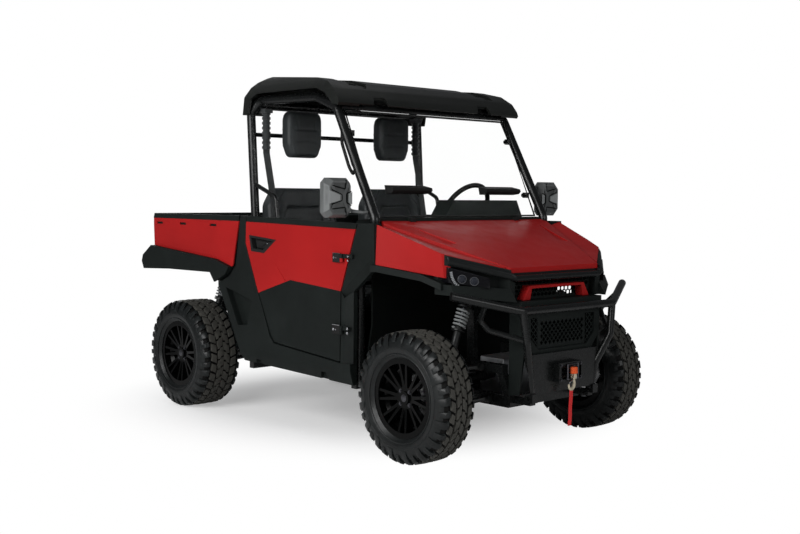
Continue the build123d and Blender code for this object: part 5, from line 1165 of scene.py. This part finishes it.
class UTV_OT_nose_details(bpy.types.Operator):
    """Adds the fairlead's rollers, the coolers, the hood's seal and the covers of brow and hinges"""

    bl_idname = "utv.nose_details"
    bl_label = "Front details"

    def execute(self, context):
        ready_materials()
        mesh = Mesher()
        spots, (low, high), radius = UPRIGHT_ROLLERS
        for x in spots:
            mesh.rod((x, FAIRLEAD_Y - 0.006, low), (x, FAIRLEAD_Y - 0.006, high), radius)
        spots, (low, high), radius = LEVEL_ROLLERS
        for z in spots:
            mesh.rod((low, FAIRLEAD_Y - 0.004, z), (high, FAIRLEAD_Y - 0.004, z), radius, sides=12)
        for spot in FAIRLEAD_BOLTS:
            mesh.bolt(spot, (0, -1, 0), radius=0.0055)
        mesh.piece("fairlead_rollers", "chassis", "winch_metal", "dark_chrome", angle=30)
        core = Mesher()
        for x0, x1, z0, z1, y in RADIATORS:
            core.slot = 0
            core.box((x0, y, z0), (x1, y + 0.004, z1))
            core.slot = 1
            for index in range(int((z1 - z0) / RADIATOR_PITCH)):
                z = z0 + RADIATOR_PITCH * (index + 0.5)
                core.box((x0 + 0.004, y - 0.004, z - 0.001), (x1 - 0.004, y + 0.001, z + 0.001))

        def wing():
            core.slot = 0
            core.plate([(x, GRILLE_WING_Y, z) for x, z in GRILLE_WING], (0, -WING_BACKING, 0))
            core.slot = 1
            for index in range(-20, 30):
                for slant in (1, -1):
                    bar = clipped(GRILLE_WING, index * WING_PITCH + WING_START, slant, WING_BAR_HALF)
                    if bar:
                        core.plate([(x, GRILLE_WING_Y - WING_BACKING, z) for x, z in bar],
                                   (0, -WING_BAR, 0))

        core.both(wing)
        core.slot = 2
        core.box(*HOOD_SEAL)
        core.piece("radiator_core", "chassis", "body_black", "hollow_shade_black", "wing_bar", "rubber_black")
        brow = Mesher()
        rings = [[(x, y, z) for y, z in ring] for x, ring in BROW_RINGS]
        brow.tube_of([[(-x, y, z) for x, y, z in ring] for ring in rings[::-1]] + rings)
        brow.piece("brow_cover", "chassis", "body_black", "brow_black", rounding=0.006)
        caps = Mesher()
        start = HOOD_AXIS + Vector((SLEEVE_X[0], 0, 0))
        caps.both(lambda: caps.turned(start, (1, 0, 0), SLEEVE_PROFILE, sides=24))
        caps.both(lambda: caps.boxes([SLEEVE_FOOT], HOOD_AXIS))
        caps.piece("hood_hinge_sleeves", "hood", "body_black", "rubber_black")
        return {"FINISHED"}


GLASS_OUTLINE = ((0.764, 1.222), (0.892, 1.222), (0.904, 1.236), (0.904, 1.378), (0.890, 1.392),
                 (0.770, 1.392), (0.756, 1.378), (0.756, 1.236))
GLASS_Y, GLASS_THICK = -0.5562, 0.0015
GLASS_RIM_R = 0.0032
MIRROR_BACK_Y = -0.6108
MIRROR_CORNER = (0.914, 1.206)       # outer bottom corner of a mirror's back, in x and z
MIRROR_SPAN = (0.172, 0.202)
MIRROR_GROOVE_R, MIRROR_PLATE = 0.0030, 0.0016       # radius of a groove's lining, drawn black as a painted shadow line, plate thickness
MIRROR_GROOVES = (             # (share across from the outer edge, share up) of a back's grooves, black lines of painted shadow
    ((0.20, 0.81), (0.70, 0.72), (0.73, 0.95)),
    ((0.20, 0.70), (0.58, 0.58), (0.58, 0.43), (0.20, 0.34)),
    ((0.93, 0.66), (0.76, 0.61), (0.76, 0.38), (0.93, 0.31)),
    ((0.20, 0.22), (0.70, 0.26), (0.74, 0.05)),
)
MIRROR_PLATES = (              # the raised plates between them, pale as a painted highlight
    ((0.10, 0.685), (0.50, 0.570), (0.50, 0.440), (0.10, 0.355)),
    ((0.96, 0.645), (0.82, 0.600), (0.82, 0.390), (0.96, 0.330)),
)


def mirror_back(shares, y):
    """Places of shares of a mirror's back."""
    return [(MIRROR_CORNER[0] - across * MIRROR_SPAN[0], y, MIRROR_CORNER[1] + up * MIRROR_SPAN[1])
            for across, up in shares]


class UTV_OT_mirror_glass(bpy.types.Operator):
    """Sets the glass in the mirrors and shapes their backs"""

    bl_idname = "utv.mirror_glass"
    bl_label = "Mirror glass"

    def execute(self, context):
        ready_materials()
        mesh = Mesher()

        def glass():
            mesh.slot = 0
            mesh.plate([(x, GLASS_Y, z) for x, z in GLASS_OUTLINE], (0, GLASS_THICK, 0))
            mesh.slot = 1
            mesh.rim([(x, GLASS_Y + 0.0005, z) for x, z in GLASS_OUTLINE], GLASS_RIM_R)

        mesh.both(glass)
        mesh.piece("mirror_glass", "chassis", "body_black", "mirror_glass", "rubber_black")
        ribs = Mesher()

        def back():
            ribs.slot = 0
            for line in MIRROR_GROOVES:
                ribs.sweep(eased(mirror_back(line, MIRROR_BACK_Y), RIM_BEND, steps=4), MIRROR_GROOVE_R)
            ribs.slot = 1
            for outline in MIRROR_PLATES:
                ribs.plate(mirror_back(outline, MIRROR_BACK_Y - 0.001), (0, -MIRROR_PLATE, 0))

        ribs.both(back)
        ribs.piece("mirror_ribs", "chassis", "body_black", "painted_shade_black", "mirror_highlight_pale", angle=60)
        return {"FINISHED"}


# ------------------------------------------------------------------ doors
LATCH = ((0.282, 1.074), (0.071, 1.059), (0.165, 1.007), (0.262, 1.012))     # (y, z) of the recess
LATCH_FRAME = ((0.302, 1.088), (0.044, 1.069), (0.158, 0.990), (0.280, 0.996))
LATCH_X = (0.716, 0.740)       # floor of the recess and skin of the door
PADDLES = (                    # share of the recess, shift, distance from its floor, thickness
    (0.74, 0.0, 0.0005, 0.010),
    (0.44, 0.004, 0.010, 0.005),
)
LATCH_BOLTS = ((0.150, 1.046), (0.224, 1.0497))       # (y, z)
HINGE_X = 0.755
HINGE_Z = (0.620, 0.995)
HINGE_BLOCKS = (               # the hinge's leaf and knuckle, from its middle
    ((LATCH_X[1] + 0.0004, -0.500, -0.0235), (HINGE_X + 0.0004, -0.464, 0.0235)),
    ((HINGE_X - 0.0086, -0.524, -0.0235), (HINGE_X + 0.0012, -0.490, 0.0235)),
)
HINGE_CAP = ((HINGE_X - 0.006, -0.524, 0.0232), (HINGE_X + 0.0016, -0.464, 0.0255))
HINGE_BOLT_Y = (-0.484, -0.586)      # on the door and on the post
HINGE_BOLT_SHIFT = (-0.011, 0.011)
HINGE_BOLT_R = 0.0042


class UTV_OT_door_details(bpy.types.Operator):
    """Adds the latch paddles, recess rims and hinge bolts"""

    bl_idname = "utv.door_details"
    bl_label = "Door details"

    def execute(self, context):
        ready_materials()
        middle = Vector((sum(y for y, z in LATCH) / 4, sum(z for y, z in LATCH) / 4))
        for side, sign in SIDES:
            door = Mesher(sign)
            for share, shift, out, thick in PADDLES:
                shrunk = [middle + (Vector(p) - middle) * share + Vector((shift, shift)) for p in LATCH]
                door.plate([(LATCH_X[0] + out, y, z) for y, z in shrunk], (thick, 0, 0))
            rings = []
            for corner, far in zip(LATCH, LATCH_FRAME):
                near = middle + (Vector(corner) - middle) * 0.98
                rings.append([(LATCH_X[1] + 0.0002, *far), (LATCH_X[1] + 0.0032, *far),
                              (LATCH_X[1] + 0.0042, *near), (LATCH_X[0] + 0.004, *near)])
            door.tube_of(rings, closed=True)
            for z in HINGE_Z:
                door.boxes(HINGE_BLOCKS, (0, 0, z))
            door.slot = 1
            for z in HINGE_Z:
                door.boxes([HINGE_CAP], (0, 0, z))
            for y, z in LATCH_BOLTS:
                door.bolt((LATCH_X[0] + 0.010, y, z), (1, 0, 0), radius=0.0040)
            post = Mesher(sign)
            for z in HINGE_Z:
                for shift in HINGE_BOLT_SHIFT:
                    door.bolt((HINGE_X, HINGE_BOLT_Y[0] + shift, z), (1, 0, 0), HINGE_BOLT_R)
                    post.bolt((HINGE_X, HINGE_BOLT_Y[1], z + shift), (1, 0, 0), HINGE_BOLT_R)
            door.piece(f"door_fittings_{side}", f"door_{side}", "body_black", "rubber_black", "chrome")
            post.piece(f"hinge_bolts_{side}", "chassis", "body_black", "chrome")
        return {"FINISHED"}


# ------------------------------------------------------------------ cab
GLASS_FOOT, GLASS_HEAD = Vector((0, -0.664, 1.203)), Vector((0, -0.399, 1.772))
GLASS_HALF = 0.624
SEAL_INSET, SEAL_R = 0.012, 0.0055      # as a share of the windshield's height, and in metres
CLAMP_SHARES = (0.22, 0.78)          # up the windshield
CLAMP_OUT = Vector((0.632, 0.010, 0))
CLAMP_BLOCK = ((-0.030, -0.010, -0.016), (0.006, 0.012, 0.016))
CLAMP_KNOB = (Vector((-0.016, 0.010, 0)), Vector((-0.016, 0.026, 0)), 0.011)
DASH_HOOD_X = (0.216, 0.504)
DASH_HOOD = ((-0.596, 1.328), (-0.642, 1.334), (-0.657, 1.348), (-0.652, 1.362), (-0.585, 1.375))
BUCKLE_BLOCKS = (              # the stalk and the housing of a belt's buckle
    ((0.086, 0.130, 0.700), (0.104, 0.170, 0.800)),
    ((0.083, 0.122, 0.785), (0.107, 0.178, 0.850)),
)
BUCKLE_BUTTON = ((0.088, 0.134, 0.8495), (0.102, 0.166, 0.8530))
BELT_TONGUE = ((0.573, 0.206, 0.905), (0.619, 0.206, 0.905), (0.613, 0.212, 0.945), (0.579, 0.212, 0.945))
BELT_ANCHOR = (0.596, 0.332, 1.8125)
GRAB_LOOP = ((0.648, -0.400, 1.684), (0.585, -0.335, 1.652), (0.578, -0.322, 1.605),
             (0.578, -0.385, 1.470), (0.585, -0.425, 1.432), (0.654, -0.530, 1.462))
GRAB_BEND, GRAB_R = 0.022, 0.009
PEDALS_X = (0.300, 0.420)
PEDAL_PAD = ((-0.030, -0.512, 0.440), (0.030, -0.500, 0.520))
PEDAL_ARM = ((-0.512, 0.500), (-0.528, 0.640))         # (y, z) of both ends
PEDAL_ARM_R = 0.008
WHEEL_CENTRE = Vector((0.360, -0.345, 1.235))
WHEEL_AXIS = Vector((0, math.cos(math.radians(30)), math.sin(math.radians(30))))
WHEEL_HUB = ((0, 0.047), (0.008, 0.046), (0.013, 0.040), (0.016, 0.028), (0.0165, 0.002))
WHEEL_RIM_R, WRAP_R = 0.172, 0.0145
WRAP_ARC = (20, 160)          # degrees round the rim
WRAP_STEPS = 24
SPOKE_BUTTONS = (0.075, 0.105, 0.135)       # distances from the hub
BUTTON_PROFILE = ((0, 0.0085), (0.0035, 0.0080))


class UTV_OT_cab_details(bpy.types.Operator):
    """Adds seals, clamps, buckles, a grab loop, pedals and the steering wheel's cover"""

    bl_idname = "utv.cab_details"
    bl_label = "Cab details"

    def execute(self, context):
        ready_materials()
        cab = Mesher()
        run = GLASS_HEAD - GLASS_FOOT
        half, inset = Vector((GLASS_HALF, 0, 0)), run * SEAL_INSET
        cab.sweep([GLASS_FOOT - half + inset, GLASS_FOOT + half + inset, GLASS_HEAD + half - inset,
                   GLASS_HEAD - half - inset], SEAL_R, sides=8, closed=True)

        def trim():
            cab.slot = 0
            for share in CLAMP_SHARES:
                spot = GLASS_FOOT + run * share + CLAMP_OUT
                start, end, radius = CLAMP_KNOB
                cab.boxes([CLAMP_BLOCK], spot)
                cab.rod(spot + start, spot + end, radius, sides=12)
            cab.tube_of([[(x, y, z) for y, z in DASH_HOOD] for x in DASH_HOOD_X])
            cab.boxes(BUCKLE_BLOCKS)
            cab.slot = 1
            cab.box(*BUCKLE_BUTTON)
            cab.slot = 2
            cab.plate(BELT_TONGUE, (0, -0.003, 0))
            cab.bolt(BELT_ANCHOR, (0, -1, 0), radius=0.008)

        cab.both(trim)
        cab.slot = 0
        cab.side = -1
        cab.sweep(eased(GRAB_LOOP, GRAB_BEND, steps=5), GRAB_R, sides=12)
        cab.side = 1
        for x in PEDALS_X:
            cab.boxes([PEDAL_PAD], (x, 0, 0))
            cab.rod((x, *PEDAL_ARM[0]), (x, *PEDAL_ARM[1]), PEDAL_ARM_R, sides=10)
        cab.piece("cab_trim", "chassis", "body_black", "rubber_black", "stopper_orange", "chrome",
                  rounding=0.0012)
        wheel = Mesher()
        wheel.turned(WHEEL_CENTRE + WHEEL_AXIS * 0.002, WHEEL_AXIS, WHEEL_HUB, sides=36)
        side = Vector((1, 0, 0))
        up = side.cross(WHEEL_AXIS)
        arc = []
        for step in range(WRAP_STEPS + 1):
            a = math.radians(WRAP_ARC[0] + (WRAP_ARC[1] - WRAP_ARC[0]) * step / WRAP_STEPS)
            arc.append(WHEEL_CENTRE + side * WHEEL_RIM_R * math.cos(a) + up * WHEEL_RIM_R * math.sin(a))
        wheel.sweep(arc, WRAP_R, sides=14)
        wheel.slot = 1
        for sign in (-1, 1):
            for out in SPOKE_BUTTONS:
                spot = WHEEL_CENTRE + side * sign * out - WHEEL_AXIS * 0.002
                wheel.turned(spot, WHEEL_AXIS, BUTTON_PROFILE, sides=16)
        wheel.piece("wheel_cover", "steering_wheel", "body_black", "rubber_black", "gloss_black", angle=35)
        return {"FINISHED"}


# ------------------------------------------------------------------ bed
BED_FLOOR_Z = 0.896
BED_RIBS = 11
RIB_PITCH, RIB_HALF = 0.120, 0.014
RIB_Y = (0.480, 1.300)
TIE_DOWNS = [(x, y) for x in (-0.55, 0.55) for y in (0.520, 1.260)]
TIE_DOWN_PROFILE = ((0, 0.018), (0.004, 0.018), (0.005, 0.015))
GATE_Y = 1.352
GATE_PANELS = ((-0.600, -0.180), (0.180, 0.600))       # x limits of the raised frames
GATE_PANEL_Z = (0.945, 1.155)
GATE_BEND, GATE_FRAME_R = 0.020, 0.0050
HANDLE_THICK = 0.006
HANDLE_PLATE = ((-0.120, 1.070), (0.120, 1.070), (0.135, 1.085), (0.135, 1.140), (-0.135, 1.140),
                (-0.135, 1.085))
HANDLE_PADDLE = ((-0.090, 1.086), (0.090, 1.086), (0.100, 1.124), (-0.100, 1.124))


class UTV_OT_bed_details(bpy.types.Operator):
    """Ribs the bed's floor, and fits its tie-downs and the tailgate's frames and handle"""

    bl_idname = "utv.bed_details"
    bl_label = "Bed details"

    def execute(self, context):
        ready_materials()
        bed = Mesher()
        for index in range(BED_RIBS):
            x = RIB_PITCH * (index - BED_RIBS // 2)
            bed.box((x - RIB_HALF, RIB_Y[0], BED_FLOOR_Z - 0.001),
                    (x + RIB_HALF, RIB_Y[1], BED_FLOOR_Z + 0.006))
        for x, y in TIE_DOWNS:
            bed.turned((x, y, BED_FLOOR_Z - 0.001), (0, 0, 1), TIE_DOWN_PROFILE, sides=20)
        bed.piece("bed_ribs", "bed", "body_black", "grained_black", rounding=0.002)
        gate = Mesher()
        low, high = GATE_PANEL_Z
        for x0, x1 in GATE_PANELS:
            corners = ((x0, low), (x1, low), (x1, high), (x0, high), (x0, low))
            line = eased([(x, GATE_Y, z) for x, z in corners], GATE_BEND, steps=5)
            gate.sweep(line[:-1], GATE_FRAME_R, sides=8, closed=True)
        gate.plate([(x, GATE_Y - 0.001, z) for x, z in HANDLE_PLATE], (0, HANDLE_THICK, 0))
        gate.slot = 1
        gate.plate([(x, GATE_Y + 0.004, z) for x, z in HANDLE_PADDLE], (0, HANDLE_THICK, 0))
        gate.piece("tailgate_handle", "tailgate", "body_black", "grained_black", "rubber_black",
                   rounding=0.0015)
        return {"FINISHED"}


# ------------------------------------------------------------------ cord
STRAP_ROUTE = ((-0.012, -1.462, 0.3534), (-0.012, -1.463, 0.304), (-0.016, -1.460, 0.256),
               (-0.013, -1.461, 0.210), (-0.018, -1.459, 0.166))
STRAP_WIDTH = 0.025
STRAP_THICK = 0.003


def route_points(name, route):
    """Points along the smooth line through a route's control points."""
    curve = bpy.data.curves.new(name, "CURVE")
    curve.dimensions = "3D"
    spline = curve.splines.new("NURBS")
    spline.points.add(len(route) - 1)
    for point, place in zip(spline.points, route):
        point.co = (*place, 1.0)
    spline.order_u = 3
    spline.use_endpoint_u = True
    spline.resolution_u = 12
    holder = bpy.data.objects.new(name, curve)
    mesh = bpy.data.meshes.new_from_object(holder)
    points = [Vector(vertex.co) for vertex in mesh.vertices]
    bpy.data.objects.remove(holder)
    bpy.data.curves.remove(curve)
    bpy.data.meshes.remove(mesh)
    return points


class UTV_OT_pull_strap(bpy.types.Operator):
    """Makes the webbing strap that hangs from the winch hook"""

    bl_idname = "utv.pull_strap"
    bl_label = "Pull strap"

    def execute(self, context):
        ready_materials()
        line = route_points("strap_line", STRAP_ROUTE)
        mesh = Mesher()
        rings = []
        across = Vector((STRAP_WIDTH / 2, 0, 0))
        for index, point in enumerate(line):
            ahead = line[min(index + 1, len(line) - 1)] - line[max(index - 1, 0)]
            out = across.cross(ahead).normalized() * (STRAP_THICK / 2)
            edge = across * 0.96
            rings.append([point - across, point - edge - out, point + edge - out,
                          point + across, point + edge + out, point - edge + out])
        mesh.tube_of(rings)
        strap = mesh.piece("pull_strap_web", "chassis", "strap_red", "strap_red", angle=60)
        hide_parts("pull_strap")
        return {"FINISHED"}


# ------------------------------------------------------------------ stage
CAMERA_YAW = 42.867
CAMERA_PITCH = -3.686
CAMERA_ROLL = 0.505
SENSOR_WIDTH = 36.0           # millimetres


def camera_axes():
    """Right, up and forward of the camera."""
    yaw, pitch, roll = (math.radians(a) for a in (CAMERA_YAW, CAMERA_PITCH, CAMERA_ROLL))
    forward = Vector((math.sin(yaw) * math.cos(pitch), math.cos(yaw) * math.cos(pitch), math.sin(pitch)))
    level = Vector((math.cos(yaw), -math.sin(yaw), 0))
    up = level.cross(forward)
    right = level * math.cos(roll) + up * math.sin(roll)
    return right, up * math.cos(roll) - level * math.sin(roll), forward


def soft_lamp(name, place, aim, size, power):
    """A rectangular softbox that points at a place."""
    data = bpy.data.lights.new(name, "AREA")
    data.shape = "RECTANGLE"
    data.size, data.size_y = size
    data.energy = power * bpy.context.scene.utv_stage.light
    lamp = bpy.data.objects.new(name, data)
    lamp.location = place
    lamp.rotation_euler = (Vector(aim) - Vector(place)).to_track_quat("-Z", "Y").to_euler()
    bpy.context.scene.collection.objects.link(lamp)


FILL_STRENGTH = 0.12
FILL_TINT = (0.93, 0.95, 1.0, 1)
WHITE = (1, 1, 1, 1)
FLOOR_TONE = 0.90
FLOOR_LIFT = 0.31             # share of white that the floor shows in full shadow
FLOOR_FADE_FROM = (0.20, 0.45, 0.0)
FLOOR_FADE = (0.75, 1.8)      # metres from there
FLOOR_REACH = 40.0
SOFTBOXES = (
    # name, place, aim, size, power
    ("key_softbox", (-6.0, -1.2, 3.0), (0, -0.2, 0.7), (4.5, 3.0), 320),
    ("front_softbox", (0.0, -6.5, 2.6), (0, -0.5, 0.7), (4.0, 2.0), 85),
    ("top_softbox", (0, 0.6, 5.2), (0, 0, 0.5), (5.0, 5.0), 36),
    ("back_softbox", (0.8, 5.6, 3.2), (0, 0.3, 0.8), (3.0, 2.0), 36),
)


def studio_world():
    """An even fill that shows as plain white."""
    world = bpy.data.worlds.new("studio")
    world.use_nodes = True
    world.node_tree.nodes.clear()
    nodes = Nodes(world.node_tree)
    fill = nodes.add("ShaderNodeBackground", {"Color": FILL_TINT, "Strength": FILL_STRENGTH})
    white = nodes.add("ShaderNodeBackground", {"Color": WHITE})
    mix = nodes.add("ShaderNodeMixShader", {0: nodes.seen_directly(), 1: fill.outputs[0],
                                            2: white.outputs[0]})
    nodes.add("ShaderNodeOutputWorld", {"Surface": mix.outputs[0]})
    return world


def floor_material():
    """Pale floor that keeps the shadow near the vehicle and fades to plain white away from it."""
    shader = Shader("studio_white")
    seen = shader.seen_directly()
    lift = shader.add("ShaderNodeMath", {0: seen, 1: FLOOR_LIFT}, operation="MULTIPLY")
    shader.set(Base_Color=(FLOOR_TONE, FLOOR_TONE, FLOOR_TONE, 1), Roughness=0.9, Specular_IOR_Level=0.1,
               Emission_Color=WHITE, Emission_Strength=lift.outputs[0])
    shift = shader.add("ShaderNodeVectorMath", {0: shader.place, 1: FLOOR_FADE_FROM}, operation="SUBTRACT")
    away = shader.add("ShaderNodeVectorMath", {0: shift.outputs["Vector"]}, operation="LENGTH")
    fade = shader.add("ShaderNodeMapRange", {"Value": away.outputs["Value"], "From Min": FLOOR_FADE[0],
                                             "From Max": FLOOR_FADE[1]}, interpolation_type="SMOOTHSTEP")
    white = shader.add("ShaderNodeEmission")
    both = shader.add("ShaderNodeMath", {0: fade.outputs["Result"], 1: seen}, operation="MULTIPLY")
    mix = shader.add("ShaderNodeMixShader", {0: both.outputs[0], 1: shader.surface.outputs[0],
                                             2: white.outputs[0]})
    shader.fill(shader.tree.nodes["Material Output"], {"Surface": mix.outputs[0]})
    return shader.material


class UTV_OT_stage(bpy.types.Operator):
    """Sets the floor, the lamps, the world and the camera"""

    bl_idname = "utv.stage"
    bl_label = "Stage"

    def execute(self, context):
        scene = context.scene
        stage = scene.utv_stage
        scene.view_settings.view_transform = "Standard"
        scene.world = studio_world()

        floor_mesh = bpy.data.meshes.new("studio_floor")
        corners = [(x * FLOOR_REACH, y * FLOOR_REACH, 0) for x, y in ((-1, -1), (1, -1), (1, 1), (-1, 1))]
        floor_mesh.from_pydata(corners, [], [(0, 1, 2, 3)])
        floor = bpy.data.objects.new("studio_floor", floor_mesh)
        scene.collection.objects.link(floor)
        floor_mesh.materials.append(floor_material())

        right, up, forward = camera_axes()
        place = Vector((-stage.camera_x, -stage.camera_y, stage.camera_z))
        data = bpy.data.cameras.new("studio_camera")
        data.lens = stage.lens
        data.sensor_width = SENSOR_WIDTH
        camera = bpy.data.objects.new("studio_camera", data)
        turn = Matrix((right, up, -forward)).transposed().to_4x4()
        camera.matrix_world = Matrix.Translation(place) @ turn
        scene.collection.objects.link(camera)
        scene.camera = camera
        for row in SOFTBOXES:
            soft_lamp(*row)
        return {"FINISHED"}


# ------------------------------------------------------------------ panel and registration
STEPS = (UTV_OT_stage, UTV_OT_pull_strap, UTV_OT_finishes, UTV_OT_tyres, UTV_OT_seats, UTV_OT_headrests,
         UTV_OT_shocks, UTV_OT_shafts, UTV_OT_headlamps, UTV_OT_winch_hook, UTV_OT_mirror_glass,
         UTV_OT_wheel_details, UTV_OT_door_details, UTV_OT_cab_details, UTV_OT_bed_details,
         UTV_OT_nose_details)


class UTV_PT_build(bpy.types.Panel):
    """Lists the vehicle's settings and the steps that make it."""

    bl_label = "Utility Vehicle"
    bl_idname = "UTV_PT_build"
    bl_space_type = "VIEW_3D"
    bl_region_type = "UI"
    bl_category = "Utility Vehicle"

    def draw(self, context):
        layout = self.layout
        for group in (context.scene.utv_finish, context.scene.utv_stage):
            for key in group.__annotations__:
                layout.prop(group, key)
        for step in STEPS:
            layout.operator(step.bl_idname)


GROUPS = (("utv_finish", FinishSettings), ("utv_stage", StageSettings))
CLASSES = (*(group for _, group in GROUPS), *STEPS, UTV_PT_build)


def register():
    """Registers the classes and hangs the settings on the scene."""
    for item in CLASSES:
        bpy.utils.register_class(item)
    for key, group in GROUPS:
        setattr(bpy.types.Scene, key, bpy.props.PointerProperty(type=group))


def unregister():
    """Takes the settings and the classes away again."""
    for key, _ in GROUPS:
        delattr(bpy.types.Scene, key)
    for item in reversed(CLASSES):
        bpy.utils.unregister_class(item)


def main():
    register()
    for step in STEPS:
        group, _, name = step.bl_idname.partition(".")
        getattr(getattr(bpy.ops, group), name)()


if __name__ == "__main__":
    main()
